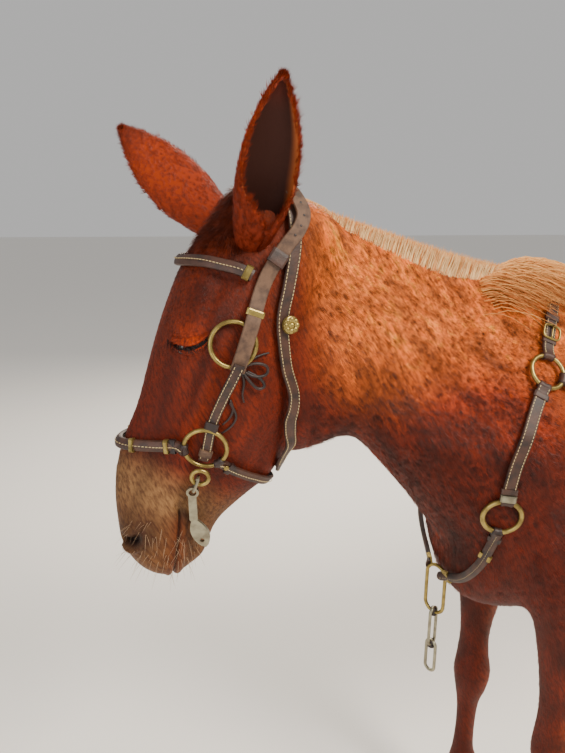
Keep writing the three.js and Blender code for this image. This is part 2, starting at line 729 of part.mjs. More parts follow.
// Bridle: rings first, then the straps that run over and round them
const RING = {
  cheek: { at: [225, 27, 106], radius: 33, tube: 3.5 },
  nose: { at: [393, 8, 84], radius: 33, tube: 3.5 },
  small: { at: [428, 1, 70], radius: 13, tube: 3.5 },
};
const bridleRings = {};
for (const [sideName, side] of Object.entries(SIDES)) {
  for (const kind of ["cheek", "nose"]) {
    const { at, radius, tube } = RING[kind];
    const ring = ringOn(inHead(at[0], at[1], side * at[2]), radius, tube);
    bridleRings[`${kind}_${sideName}`] = lay(`${kind}_ring_${sideName}`, "brass", ring);
  }
}
const CROWN_WIDTH = 22;
const throatHalf = [
  [403, -136, 28],
  [340, -122, 50],
  [285, -98, 72],
  [232, -62, 93],
  [173, -32, 99],
  [120, -24, 95],
  [60, -14, 84],
  [10, 6, 68],
  [-12, 42, 46],
  [-18, 70, 0],
];
const throatRoute = [...bothSides(throatHalf), [412, -160, 0]];
lay("throat_strap", "leather", layStrap(onHead(throatRoute), { width: 20, closed: true }));
const crownHalf = [
  [258, 10, 107],
  [191, 13, 105],
  [123, 12, 95],
  [77, 5, 88],
  [40, 0, 77],
  [12, 14, 62],
  [-2, 44, 40],
  [-6, 66, 0],
];
lay("crown_strap", "leather", layStrap(onHead(bothSides(crownHalf)), { width: CROWN_WIDTH }));
const browHalf = [
  [124, 30, 92],
  [122, 50, 84],
  [124, 72, 74],
  [131, 102, 48],
  [138, 120, 20],
  [140, 128, 0],
];
lay("browband", "leather", layStrap(onHead(bothSides(browHalf)), { width: 18 }));
const noseHalf = [
  [408, 46, 64],
  [418, 68, 52],
  [430, 94, 34],
  [440, 114, 18],
  [444, 124, 0],
];
lay(
  "noseband",
  "leather",
  layStrap(onHead(bothSides(noseHalf)), {
    width: 18,
    thick: 6,
    start: bridleRings.nose_left,
    end: bridleRings.nose_right,
  }),
);
const chinHalf = [[416, -42, 66], [426, -76, 58], [434, -110, 44], [440, -140, 0]];
lay(
  "chin_strap",
  "leather",
  layStrap(onHead(bothSides(chinHalf)), {
    width: 16,
    start: bridleRings.nose_left,
    end: bridleRings.nose_right,
  }),
);

// A small domed stud on whatever lies at that place
function studOn(guide, radius, height) {
  const { at, normal } = onSkin(guide);
  const meshes = [fleshMesh, ...laid.map((o) => o.mesh)];
  let high = 0;
  for (const [a, b] of [[0, 0], [1, 0], [-1, 0], [0, 1], [0, -1]]) {
    const spot = at.clone().add(vec(0, 0, a * radius * 0.8)).add(vec(b * radius * 0.8, 0, 0));
    high = Math.max(high, heightOver(spot, normal, meshes));
  }
  const dome = [[0, 0], [1, 0], [0.94, 0.45], [0.6, 0.85], [0, 1]]; // shares of radius and height
  const outline = dome.map(([x, y]) => new THREE.Vector2(x * radius, y * height));
  const geometry = new THREE.LatheGeometry(outline, 16);
  geometry.applyQuaternion(new THREE.Quaternion().setFromUnitVectors(vec(0, 1, 0), normal));
  const foot = at.clone().addScaledVector(normal, high + 0.8);
  geometry.translate(foot.x, foot.y, foot.z);
  let made = outwardPlain(geometry);
  for (const other of laid) made = made.subtract(other.grown);
  return { made, grown: made, mesh: asMesh(made) };
}
for (const [sideName, side] of Object.entries(SIDES)) {
  lay(`rosette_${sideName}`, "brass", studOn(inHead(172, -42, side * 98), 14, 7));
}

// A long link: a torus pulled out along one of its own directions
function longLink(centre, long, wide, halfLength, halfWidth, tube) {
  const make = (thick) => {
    const curve = new THREE.CatmullRomCurve3(
      Array.from({ length: 12 }, (_, k) => {
        const angle = (k / 12) * 2 * Math.PI;
        return centre
          .clone()
          .addScaledVector(long, halfLength * Math.sign(Math.cos(angle)) * Math.abs(Math.cos(angle)) ** 0.7)
          .addScaledVector(wide, halfWidth * Math.sign(Math.sin(angle)) * Math.abs(Math.sin(angle)) ** 0.7);
      }),
      true,
    );
    return outwardPlain(new THREE.TubeGeometry(curve, 16, thick, 6, true));
  };
  const made = make(tube);
  return { made, grown: make(tube + GAP), mesh: asMesh(made) };
}

// Flat shapes for the cheek plate of the bit, cut from sheet as thick as PLATE says
const PLATE = { thick: 5, eye: 10, hole: 6, neck: 13, rod: 5.5, rodLength: 46 };
// outline of the plate's leaf, from the middle of its eye
const LEAF = [
  [50, -18],
  [58, -38],
  [74, -54],
  [100, -56],
  [94, -36],
  [72, -19],
];
const LINK = { tube: 2.4, halfWidth: 8.5 };
function flat(outline, thick = PLATE.thick) {
  const options = { depth: thick, bevelEnabled: false, curveSegments: 8 };
  const geometry = new THREE.ExtrudeGeometry(outline, options);
  geometry.translate(0, 0, -thick / 2);
  return outwardPlain(geometry);
}
function disc(x, y, radius) {
  const outline = new THREE.Shape();
  outline.absarc(x, y, radius, 0, 2 * Math.PI);
  return outline;
}
function bar([x1, y1], [x2, y2], width) {
  const outline = new THREE.Shape();
  const angle = Math.atan2(y2 - y1, x2 - x1);
  outline.absarc(x1, y1, width / 2, angle + Math.PI / 2, angle + 1.5 * Math.PI);
  outline.absarc(x2, y2, width / 2, angle - Math.PI / 2, angle + Math.PI / 2);
  return outline;
}
function leaf() {
  const curve = new THREE.CatmullRomCurve3(LEAF.map(([x, y]) => vec(x, y, 0)), true);
  return new THREE.Shape(curve.getSpacedPoints(18).map((p) => new THREE.Vector2(p.x, p.y)));
}
function rodInward(radius, length) {
  const geometry = new THREE.CylinderGeometry(radius, radius, length, 10);
  geometry.rotateX(Math.PI / 2);
  geometry.translate(LEAF[0][0], LEAF[0][1], -length / 2 + 1);
  return outwardPlain(geometry);
}
function cheekPlate() {
  const plate = flat(disc(0, 0, PLATE.eye))
    .add(flat(bar([PLATE.eye * 0.8, -2], LEAF[0], PLATE.neck)))
    .add(flat(leaf()))
    .add(rodInward(PLATE.rod, PLATE.rodLength));
  return plate
    .subtract(flat(disc(0, 0, PLATE.hole), 3 * PLATE.thick))
    .subtract(flat(disc(LEAF[3][0] - 12, LEAF[3][1] + 11, PLATE.hole - 2), 3 * PLATE.thick));
}

// Bit: a small ring, a link and the cheek plate on each side of the mouth
const LOWER_CHEEK = [[246, 11, 107], [301, 12, 101], [354, 11, 89]];
for (const [sideName, side] of Object.entries(SIDES)) {
  const { at, radius, tube } = RING.small;
  const small = ringOn(inHead(at[0], at[1], side * at[2]), radius, tube, { over: laid, clear: 9 });
  lay(`bit_ring_${sideName}`, "brass", small);
  const lower = layStrap(onHead(LOWER_CHEEK, side), { width: 16, end: small });
  lay(`lower_cheek_strap_${sideName}`, "leather", lower);
  const away = small.normal.clone();
  const along = ALONG.clone().addScaledVector(away, -ALONG.dot(away)).normalize();
  const ahead = new THREE.Vector3().crossVectors(away, along).multiplyScalar(side);
  const linkTop = radius - tube - LINK.tube - 0.6;
  const rimTop = radius + tube + 10;
  const linkEnd = rimTop + (PLATE.eye - PLATE.hole) + LINK.tube + 0.6;
  const linkMiddle = small.centre.clone().addScaledVector(along, (linkTop + linkEnd) / 2);
  const half = (linkEnd - linkTop) / 2;
  lay(`bit_link_${sideName}`, "steel", longLink(linkMiddle, along, away, half, LINK.halfWidth, LINK.tube));
  const eyeCentre = small.centre.clone().addScaledVector(along, rimTop + PLATE.eye);
  const frame = new THREE.Matrix4().makeBasis(along, ahead, away).setPosition(eyeCentre);
  const made = outward(geometryOf(cheekPlate()).applyMatrix4(frame));
  const pocket = rodInward(PLATE.rod + 0.5, PLATE.rodLength + 2);
  head = head.subtract(outward(geometryOf(pocket).applyMatrix4(frame)));
  lay(`bit_cheek_${sideName}`, "steel", { made, grown: made, mesh: asMesh(made) });
}

// Breast collar
const COLLAR = {
  shoulder: { at: [-240, 105, 1257], radius: 30, tube: 4 },
  chest: { at: [-330, 145, 1020], radius: 32, tube: 4.5 },
};
// The ring on the breast is a long oval that hangs free, turned a little to the left
const OVAL = { at: [-352, 0, 824], halfWidth: 21, halfLength: 53, tube: 3.5, clear: 13, wide: [-0.45, 0.9, 0] };
const across = (points, side) => points.map(([x, y, z]) => vec(x, side * y, z));
const strapWidth = { collar: 20, girth: 62 };
const girth = [
  [12, 0, 1470],
  [12, 110, 1420],
  [12, 190, 1320],
  [10, 240, 1180],
  [8, 240, 1000],
  [6, 190, 840],
  [4, 100, 745],
];
const girthRoute = [...across(girth, -1), vec(4, 0, 720), ...across(girth.slice(1).reverse(), 1)];
const girthStrap = layStrap(girthRoute, { width: strapWidth.girth, closed: true, step: 30, bulge: 1.5 });
lay("surcingle", "leather", girthStrap);
const collarRings = {};
for (const [sideName, side] of Object.entries(SIDES)) {
  for (const kind of ["shoulder", "chest"]) {
    const { at, radius, tube } = COLLAR[kind];
    const ring = ringOn(vec(at[0], side * at[1], at[2]), radius, tube);
    collarRings[`${kind}_${sideName}`] = lay(`${kind}_ring_${sideName}`, "brass", ring);
  }
}
const ovalTop = ringOn(vec(...OVAL.at), OVAL.halfWidth, OVAL.tube, { clear: OVAL.clear });
const ovalMiddle = ovalTop.centre.clone().add(vec(0, 0, OVAL.halfWidth - OVAL.halfLength));
const ovalWide = vec(...OVAL.wide).normalize();
const oval = longLink(ovalMiddle, vec(0, 0, 1), ovalWide, OVAL.halfLength, OVAL.halfWidth, OVAL.tube);
// Straps find its upper end as if it were a round ring
const middleRing = { ...ovalTop, ...oval };
lay("breast_ring", "brass", middleRing);
const witherHalf = [[-222, 88, 1304], [-198, 62, 1350], [-178, 36, 1392], [-168, 0, 1420]];
const witherRoute = [...across(witherHalf, -1), ...across(witherHalf.slice(0, 3), 1).reverse()];
lay(
  "wither_strap",
  "leather",
  layStrap(witherRoute, {
    width: strapWidth.collar,
    start: collarRings.shoulder_left,
    end: collarRings.shoulder_right,
  }),
);
for (const [sideName, side] of Object.entries(SIDES)) {
  const shoulder = collarRings[`shoulder_${sideName}`];
  const chest = collarRings[`chest_${sideName}`];
  const width = strapWidth.collar;
  const front = across([[-284, 134, 1194], [-320, 152, 1116]], side);
  lay(`shoulder_strap_${sideName}`, "leather", layStrap(front, { width, start: shoulder, end: chest }));
  const breast = across([[-332, 128, 955], [-338, 108, 905], [-346, 66, 852]], side);
  lay(`breast_strap_${sideName}`, "leather", layStrap(breast, { width, start: chest, end: middleRing }));
  const rear = across([[-170, 150, 1240], [-100, 190, 1225], [-30, 215, 1212], [40, 228, 1200]], side);
  lay(`rear_strap_${sideName}`, "leather", layStrap(rear, { width, start: shoulder }));
}

// Chain of two long links that hangs from the ring on the breast
const CHAIN = { lengths: [92, 78], halfWidth: 11, tube: 3.2 };
let hang = ovalMiddle.clone().add(vec(0, 0, -OVAL.halfLength));
let seat = OVAL.tube;
let wide = vec(ovalWide.y, -ovalWide.x, 0);
CHAIN.lengths.forEach((length, i) => {
  const half = length / 2 - CHAIN.tube;
  const centre = hang.clone().add(vec(0, 0, seat + CHAIN.tube + 1.8 - half));
  const link = longLink(centre, vec(0, 0, 1), wide, half, CHAIN.halfWidth, CHAIN.tube);
  lay(`breast_chain_${i + 1}`, "steel", link);
  hang = centre.clone().add(vec(0, 0, -half));
  seat = CHAIN.tube;
  wide = vec(wide.y, -wide.x, 0);
});

// Hair: a flat tapered lock from its root to its tip, that bends on its way
function lock({ root, direction, sideways, length, width, thick, droop = vec(0, 0, 0), steps = 3 }) {
  const rings = [];
  const side = sideways.clone().normalize();
  for (let i = 0; i <= steps; i++) {
    const t = i / steps;
    const at = root.clone().addScaledVector(direction, length * t).addScaledVector(droop, length * t * t);
    const taper = Math.max(0.14, 1 - 0.86 * t ** 1.7);
    const way = direction.clone().addScaledVector(droop, 2 * t).normalize();
    const flat = new THREE.Vector3().crossVectors(way, side).normalize();
    const w = (width * taper) / 2;
    const h = (thick * taper) / 2;
    rings.push([
      at.clone().addScaledVector(side, w),
      at.clone().addScaledVector(flat, h),
      at.clone().addScaledVector(side, -w),
      at.clone().addScaledVector(flat, -h),
    ]);
  }
  return outward(skinOf(rings));
}

// Seeded draw between 0 and 1
function seeded(seed) {
  let state = seed;
  return () => {
    state = (state * 16807) % 2147483647;
    return state / 2147483647;
  };
}

// Mane: a low core on the crest with upright locks, and a long tuft before the withers
const CREST = [
  [-672, 1533],
  [-615, 1524],
  [-540, 1497],
  [-455, 1463],
  [-370, 1434],
  [-280, 1414],
  [-190, 1412],
  [-100, 1422],
];
const crestCurve = new THREE.CatmullRomCurve3(CREST.map(([x, z]) => vec(x, 0, z)));
const MANE = { count: 19, from: 0.03, to: 0.66, height: 17, growth: 8, width: 34, thick: 15, rows: [-2] };
const TUFT = { count: 12, from: 0.64, to: 0.93, length: 92, width: 42, thick: 14, rows: [-17, 0, 17] };
function maneCore() {
  const stations = [];
  for (let i = 0; i <= 12; i++) {
    const t = 0.012 + 0.95 * (i / 12);
    const at = crestCurve.getPointAt(t);
    const tuft = Math.exp(-(((t - 0.79) / 0.12) ** 2));
    const rise = 8 + 16 * tuft;
    const wide = 1 + 1.1 * tuft;
    const end = i === 0 || i === 12 ? 0.6 : 1;
    stations.push({
      top: [at.x, at.z + rise * end],
      bottom: [at.x, at.z - 22],
      widths: [6 * wide * end, 10 * wide * end, 14 * wide * end],
    });
  }
  return loft(stations, { around: 8, rings: 1 });
}
function maneLocks() {
  const random = seeded(7);
  const locks = [];
  for (let i = 0; i < MANE.count; i++) {
    const t = MANE.from + ((MANE.to - MANE.from) * i) / MANE.count;
    for (const row of MANE.rows) {
      const at = crestCurve.getPointAt(t + 0.006 * random());
      const along = crestCurve.getTangentAt(t);
      const root = vec(at.x, row + 4 * random(), at.z - 10);
      const direction = vec(0.05 + 0.35 * random(), row * 0.02, 1).normalize();
      const length = 10 + MANE.height + (MANE.growth * i) / MANE.count + 5 * random();
      const { width, thick } = MANE;
      locks.push(lock({ root, direction, sideways: along, length, width, thick, steps: 1 }));
    }
  }
  return locks;
}
function tuftLocks() {
  const random = seeded(19);
  const locks = [];
  for (let i = 0; i < TUFT.count; i++) {
    const t = TUFT.from + ((TUFT.to - TUFT.from) * i) / TUFT.count;
    const row = TUFT.rows[i % 3];
    const at = crestCurve.getPointAt(t);
    const root = vec(at.x, row * 0.7, at.z - 4);
    const direction = vec(0.62, row * 0.012, 0.85).normalize();
    const droop = vec(0.35, row * 0.01 + 0.1 * (random() - 0.5), -0.66);
    const length = TUFT.length * (0.85 + 0.3 * random());
    const { width, thick } = TUFT;
    const sideways = vec(0.25, 1, 0);
    locks.push(lock({ root, direction, sideways, length, width, thick, droop, steps: 2 }));
  }
  return locks;
}

// Tail: the dock as a core, and locks that hang to below the hocks
const TAIL = { count: 15, top: 1225, low: 940, tip: 560, width: 52, thick: 20 };
const tailStations = [
  { top: [1040, 1318], bottom: [1040, 1252], widths: [24, 34, 24] },
  { top: [1092, 1312], bottom: [1076, 1248], widths: [26, 34, 26] },
  { top: [1140, 1262], bottom: [1098, 1226], widths: [27, 35, 27] },
  { top: [1158, 1160], bottom: [1108, 1150], widths: [26, 36, 26] },
  { top: [1156, 1020], bottom: [1112, 1020], widths: [22, 32, 22] },
  { top: [1148, 920], bottom: [1118, 920], widths: [10, 16, 10] },
];
function tailLocks() {
  const random = seeded(43);
  const locks = [];
  for (let i = 0; i < TAIL.count; i++) {
    const share = i / (TAIL.count - 1);
    const angle = i * 2.4;
    const out = vec(0.7 * Math.cos(angle), Math.sin(angle), 0);
    const z = TAIL.top + (TAIL.low - TAIL.top) * share;
    const root = vec(1132 + 20 * out.x, 24 * out.y, z);
    const direction = vec(0.07 * out.x + 0.02, 0.08 * out.y, -1);
    const sideways = vec(-out.y, out.x / 0.7, 0);
    const length = z - TAIL.tip - 110 * random();
    const droop = vec(-0.05 * out.x, -0.06 * out.y, 0);
    const { width, thick } = TAIL;
    locks.push(lock({ root, direction, sideways, length, width, thick, droop, steps: 3 }));
  }
  return locks;
}

let torso = largest(trunk);
for (const [name, parts] of Object.entries(LEGS)) {
  const cut = LEG_CUT[name.split("_")[0]];
  const below = block(0, 0, cut - GAP - BIG / 2, 2 * BIG, BIG, BIG);
  addNode(`leg_${name}`, "coat", largest(legWhole[name].intersect(below).subtract(torsoGrown)));
  const lowerGrown = legLoft(parts.leg, GAP).intersect(block(0, 0, cut - BIG / 2, 2 * BIG, BIG, BIG));
  torso = torso.subtract(lowerGrown.subtract(torsoWhole));
  const slice = block(0, 0, (HOOF_HEIGHT - GAP) / 2, 2 * BIG, BIG, HOOF_HEIGHT - GAP);
  addNode(`hoof_${name}`, "hoof", legLoft(parts.hoof, 0).intersect(slice));
}
addNode("head", "coat", head);
const clearOfTack = (manifold) => laid.reduce((kept, item) => kept.subtract(item.grown), manifold);
addNode("neck", "coat", neck);
const mane = union([maneCore(), ...maneLocks(), ...tuftLocks()]).subtract(fleshGrown);
addNode("mane", "mane", clearOfTack(mane));
addNode("torso", "coat", torso);
for (const [name, place] of Object.entries(EARS)) {
  addNode(`ear_${name}`, "coat", clearOfTack(ear(place).subtract(headGrown)));
}
for (const [name, ball] of Object.entries(eyeBalls)) addNode(`eye_${name}`, "eye", ball);
const tail = union([loft(tailStations, { around: 12, rings: 1 }), ...tailLocks()]);
addNode("tail", "mane", tail.subtract(torsoGrown));

mule.updateMatrixWorld(true);
const extent = new THREE.Box3().setFromObject(mule);
mule.position.set(-(extent.min.x + extent.max.x) / 2, -(extent.min.y + extent.max.y) / 2, -extent.min.z);

export default mule;
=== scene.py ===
import json
import math
import bmesh
import bpy
import numpy as np
from mathutils import Matrix, Vector
from mathutils.bvhtree import BVHTree

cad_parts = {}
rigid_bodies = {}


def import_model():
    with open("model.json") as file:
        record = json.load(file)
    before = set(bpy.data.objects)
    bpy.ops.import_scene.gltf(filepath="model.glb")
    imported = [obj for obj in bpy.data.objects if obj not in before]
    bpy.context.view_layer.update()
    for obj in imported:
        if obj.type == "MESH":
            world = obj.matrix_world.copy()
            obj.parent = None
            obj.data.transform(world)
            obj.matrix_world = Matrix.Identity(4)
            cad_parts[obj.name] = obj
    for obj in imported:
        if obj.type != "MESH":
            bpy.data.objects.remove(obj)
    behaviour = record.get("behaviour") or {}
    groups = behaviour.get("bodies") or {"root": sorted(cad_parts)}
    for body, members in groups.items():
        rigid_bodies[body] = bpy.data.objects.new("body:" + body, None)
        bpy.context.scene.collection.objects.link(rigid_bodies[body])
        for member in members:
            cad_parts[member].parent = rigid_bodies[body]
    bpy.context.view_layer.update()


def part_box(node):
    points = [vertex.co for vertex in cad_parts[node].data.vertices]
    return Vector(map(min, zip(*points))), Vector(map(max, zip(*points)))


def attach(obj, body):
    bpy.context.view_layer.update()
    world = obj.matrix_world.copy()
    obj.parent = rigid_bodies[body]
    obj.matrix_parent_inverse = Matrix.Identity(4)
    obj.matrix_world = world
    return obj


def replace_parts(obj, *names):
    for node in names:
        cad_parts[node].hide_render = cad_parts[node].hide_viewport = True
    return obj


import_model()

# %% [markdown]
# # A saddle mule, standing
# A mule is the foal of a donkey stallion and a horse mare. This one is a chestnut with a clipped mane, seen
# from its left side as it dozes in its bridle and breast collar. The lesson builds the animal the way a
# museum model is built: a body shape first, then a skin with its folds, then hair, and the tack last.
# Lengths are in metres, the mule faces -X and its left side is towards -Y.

rng = np.random.default_rng(11)


def unit(v):
    v = np.asarray(v, float)
    return v / np.maximum(np.linalg.norm(v, axis=-1, keepdims=True), 1e-12)


def linear(r, g, b):
    """A colour as the eye names it, 0 to 255, as the renderer wants it."""
    c = np.array([r, g, b], float) / 255
    return np.where(c <= 0.04045, c / 12.92, ((c + 0.055) / 1.055) ** 2.4)


def step(a, b, x):
    t = np.clip((np.asarray(x, float) - a) / (b - a), 0, 1)
    return t * t * (3 - 2 * t)


def soft_spot(along, front, middle, reach):
    """1 at the middle of a spot, fading over its reach along and front."""
    return np.exp(-((along - middle[0]) / reach[0]) ** 2 - ((front - middle[1]) / reach[1]) ** 2)


# %% [markdown]
# ## Where the mule stands
# The body's tables below are measured from a point on the floor under the withers. The loaded frame has its
# own origin, so the two are matched at the left eye, which sits at a known place in the head.

# %% Head frame and shift
POLL = np.array([-0.675, 0.0, 1.535])
TILT = math.radians(21)
ALONG = np.array([-math.sin(TILT), 0, -math.cos(TILT)])
FRONT = np.array([-math.cos(TILT), 0, math.sin(TILT)])
EYE = dict(along=0.250, front=0.082, side=0.066, radius=0.019)


def in_head(along, front, side=0.0):
    return POLL + along * ALONG + front * FRONT + np.array([0, side, 0])


def head_coords(p):
    q = p - POLL
    return q @ ALONG, q @ FRONT, p[..., 1]


low, high = (np.array(c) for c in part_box("eye_left"))
SHIFT = (low + high) / 2 - in_head(EYE["along"], EYE["front"], -EYE["side"])
print("shift of the frame in metres:", SHIFT.round(4))

# %% [markdown]
# ## Body shape
# Sculptors think of an animal as a row of cross-sections. Each row below is one slice: its top and bottom
# and how wide it is near the top, in the middle and near the bottom. A smooth curve runs round every slice
# and another from slice to slice, so a short table gives a long rounded form.

# %% Tables of slices
HEAD = [
    (-12, 60, 70, 30, 44, 30), (10, 88, 110, 46, 70, 45), (70, 108, 138, 64, 86, 56),
    (140, 125, 148, 78, 98, 62), (200, 129, 150, 86, 104, 62), (250, 129, 150, 82, 106, 62),
    (310, 126, 152, 68, 100, 60), (370, 122, 150, 54, 86, 56), (430, 125, 142, 46, 70, 50),
    (480, 123, 112, 42, 62, 42), (530, 111, 84, 44, 59, 37), (575, 92, 75, 48, 59, 36),
    (610, 73, 66, 46, 54, 34), (635, 48, 55, 34, 42, 28), (648, 22, 40, 18, 24, 16),
]
NECK = [
    (-740, 1475, -712, 1190, 34, 62, 46), (-680, 1532, -672, 1118, 42, 80, 58),
    (-615, 1524, -618, 1122, 36, 84, 68), (-540, 1497, -560, 1136, 32, 86, 76),
    (-455, 1463, -500, 1080, 32, 96, 90), (-370, 1434, -430, 998, 36, 116, 108),
    (-280, 1414, -375, 925, 56, 146, 124), (-190, 1410, -300, 850, 68, 172, 130),
    (-90, 1400, -200, 850, 62, 158, 110),
]
TORSO = [
    (-352, 985, 870, 26, 44, 30), (-338, 1060, 806, 62, 108, 76), (-300, 1210, 762, 70, 148, 112),
    (-225, 1345, 735, 74, 182, 138), (-120, 1412, 730, 70, 200, 146), (0, 1436, 742, 66, 218, 150),
    (110, 1416, 752, 98, 244, 168), (250, 1388, 762, 140, 275, 192), (400, 1376, 776, 160, 290, 205),
    (540, 1386, 806, 172, 284, 196), (670, 1404, 862, 184, 264, 158), (790, 1410, 940, 184, 250, 130),
    (900, 1394, 1010, 160, 226, 120), (1000, 1352, 1062, 118, 186, 100), (1070, 1290, 1110, 66, 120, 70),
    (1098, 1240, 1150, 24, 46, 28),
]
FRONT_LEG = [
    (1190, -200, 0, 20, 34, 20, 118), (1090, -270, 20, 44, 72, 46, 122), (970, -298, 26, 62, 94, 58, 128),
    (870, -272, 4, 62, 92, 54, 134), (800, -240, -34, 50, 74, 44, 136), (720, -214, -68, 42, 58, 38, 134),
    (640, -196, -90, 34, 46, 30, 130), (560, -186, -106, 28, 38, 25, 127), (500, -186, -104, 31, 41, 29, 125),
    (450, -190, -94, 34, 45, 34, 124), (405, -182, -100, 30, 39, 29, 123), (360, -174, -110, 21, 27, 19, 122),
    (290, -170, -112, 18, 24, 17, 121), (225, -170, -108, 21, 28, 20, 120), (185, -176, -94, 26, 34, 27, 120),
    (150, -184, -106, 23, 30, 23, 120), (112, -200, -132, 22, 28, 21, 120), (86, -214, -140, 27, 33, 26, 120),
    (72, -220, -142, 30, 36, 29, 120), (62, -218, -146, 26, 32, 26, 120),
]
HIND_LEG = [
    (1330, 800, 980, 30, 50, 30, 90), (1240, 720, 1068, 70, 118, 70, 108),
    (1130, 690, 1112, 78, 134, 84, 122),
    (1020, 688, 1112, 74, 126, 80, 132), (920, 706, 1088, 62, 104, 62, 138),
    (840, 752, 1062, 50, 84, 48, 140),
    (760, 812, 1048, 40, 64, 36, 138), (690, 868, 1048, 32, 48, 27, 134), (635, 908, 1058, 28, 39, 21, 130),
    (592, 934, 1066, 29, 38, 20, 128), (550, 950, 1062, 31, 40, 25, 126), (500, 962, 1046, 28, 36, 24, 125),
    (450, 966, 1036, 22, 28, 19, 124), (360, 962, 1026, 19, 25, 18, 122), (260, 952, 1016, 20, 26, 18, 120),
    (205, 944, 1014, 24, 31, 23, 120), (172, 934, 1012, 26, 34, 27, 120), (140, 922, 992, 23, 30, 22, 120),
    (108, 907, 968, 22, 28, 20, 120), (86, 896, 962, 26, 32, 25, 120), (72, 890, 962, 29, 35, 28, 120),
    (62, 892, 958, 25, 31, 25, 120),
]
STEPS = {"front_left": 16, "front_right": -46, "hind_left": 34, "hind_right": -52}
SWING_TOP = 900
COAT_DEPTH = 0.004


def between(a, b, c, d, t):
    """A place on the smooth curve from b to c, which comes from a and goes on to d."""
    return 0.5 * (2 * b + (c - a) * t + (2 * a - 5 * b + 4 * c - d) * (t * t)
                  + (3 * b - a - 3 * c + d) * t ** 3)


def spline(rows, per):
    """A smooth curve through rows of numbers, with per steps between each two."""
    rows = np.asarray(rows, float)
    padded = np.vstack([rows[:1], rows, rows[-1:]])
    out = [between(*padded[i:i + 4], t) for i in range(len(rows) - 1) for t in np.arange(per) / per]
    return np.array(out + [rows[-1]])


def slice_points(s, around, inset):
    """One closed slice from (top x, top z, bottom x, bottom z, three half-widths, middle y)."""
    top, bottom = np.array([s[0], s[1]]), np.array([s[2], s[3]])
    down = bottom - top
    height = np.linalg.norm(down)
    down = down / height
    level = [0.18, 0.5, 0.82]
    control = [(inset, 0)] + [(level[i] * height, s[4 + i] - inset) for i in range(3)]
    control += [(height - inset, 0)] + [(level[i] * height, -(s[4 + i] - inset)) for i in (2, 1, 0)]
    control = np.array(control)
    k = np.arange(around) / around * 8
    i = k.astype(int)
    t = (k - i)[:, None]
    a, b, c, d = (control[(i + j) % 8] for j in (-1, 0, 1, 2))
    p = between(a, b, c, d, t)
    return np.stack([top[0] + down[0] * p[:, 0], s[7] + p[:, 1], top[1] + down[1] * p[:, 0]], axis=1)


def new_mesh(name, verts, faces):
    mesh = bpy.data.meshes.new(name)
    mesh.from_pydata([tuple(v) for v in verts], [], [tuple(f) for f in faces])
    mesh.validate()
    return mesh


def face_out(mesh, crease=None):
    """Turn all faces outwards. With a crease angle, edges bent more than that stay sharp."""
    bm = bmesh.new()
    bm.from_mesh(mesh)
    bmesh.ops.recalc_face_normals(bm, faces=bm.faces)
    if crease is not None:
        for edge in bm.edges:
            edge.smooth = edge.calc_face_angle(0) < crease
    bm.to_mesh(mesh)
    bm.free()
    return mesh


def new_object(name, data):
    obj = bpy.data.objects.new(name, data)
    bpy.context.collection.objects.link(obj)
    return obj


def made_real(obj):
    """The mesh that an object's modifiers make. The object itself is taken away."""
    mesh = bpy.data.meshes.new_from_object(obj.evaluated_get(bpy.context.evaluated_depsgraph_get()))
    bpy.data.objects.remove(obj)
    return mesh


def tube_faces(rings, around, closed=False):
    """Faces round a row of rings. The two ends are shut, unless the last ring meets the first."""
    steps = range(rings if closed else rings - 1)
    faces = [(r * around + k, r * around + (k + 1) % around, (r + 1) % rings * around + (k + 1) % around,
              (r + 1) % rings * around + k) for r in steps for k in range(around)]
    if not closed:
        faces += [tuple(reversed(range(around))), tuple(range((rings - 1) * around, rings * around))]
    return faces


def loft(rows, around=64, per=8, inset=COAT_DEPTH):
    table = spline(np.array(rows, float) / 1000, per)
    verts = np.vstack([slice_points(s, around, inset) for s in table])
    return verts, tube_faces(len(table), around)


def head_rows():
    rows = []
    for along, front, back, *widths in HEAD:
        top, bottom = in_head(along / 1000, front / 1000) * 1000, in_head(along / 1000, -back / 1000) * 1000
        rows.append((top[0], top[2], bottom[0], bottom[2], *widths, 0))
    return rows


def leg_rows(table, side, forward):
    rows = []
    for z, front, back, a, b, c, y in table:
        swing = forward * max(0, 1 - z / SWING_TOP)
        rows.append((front + swing, z, back + swing, z, a, b, c, side * y))
    return rows


FORMS = [loft(head_rows()), loft([(*r, 0) for r in NECK]),
         loft([(x, top, x, under, a, b, c, 0) for x, top, under, a, b, c in TORSO])]
for side_name, side in (("left", -1), ("right", 1)):
    for pair, table in (("front", FRONT_LEG), ("hind", HIND_LEG)):
        FORMS.append(loft(leg_rows(table, side, STEPS[f"{pair}_{side_name}"]), around=40, per=4))
print("forms of the body:", len(FORMS))

# %% [markdown]
# ## One skin
# The forms cross each other like lumps of clay pressed together. A voxel remesh melts them into a single
# closed skin with no seams, and smoothing rounds the places where a leg or the neck grows out of the trunk.

# %% Melt the forms together
VOXEL = 0.0068


def melt(forms, voxel):
    verts, faces, base = [], [], 0
    for v, f in forms:
        verts.append(v)
        faces += [tuple(i + base for i in face) for face in f]
        base += len(v)
    mesh = face_out(new_mesh("forms", np.vstack(verts), faces))
    obj = new_object("forms", mesh)
    mod = obj.modifiers.new("melt", "REMESH")
    mod.mode = "VOXEL"
    mod.voxel_size = voxel
    melted = made_real(obj)
    bpy.data.meshes.remove(mesh)
    return melted


def table_of(items, key, width, kind=float):
    """One property of all the items, with a row for each."""
    out = np.empty(len(items) * width, kind)
    items.foreach_get(key, out)
    return out.reshape(-1, width)


def coords(mesh):
    return table_of(mesh.vertices, "co", 3)


def set_coords(mesh, p):
    mesh.vertices.foreach_set("co", p.ravel())
    mesh.update()


def edges_of(mesh):
    return table_of(mesh.edges, "vertices", 2, int)


def normals_of(mesh):
    return table_of(mesh.vertex_normals, "vector", 3)


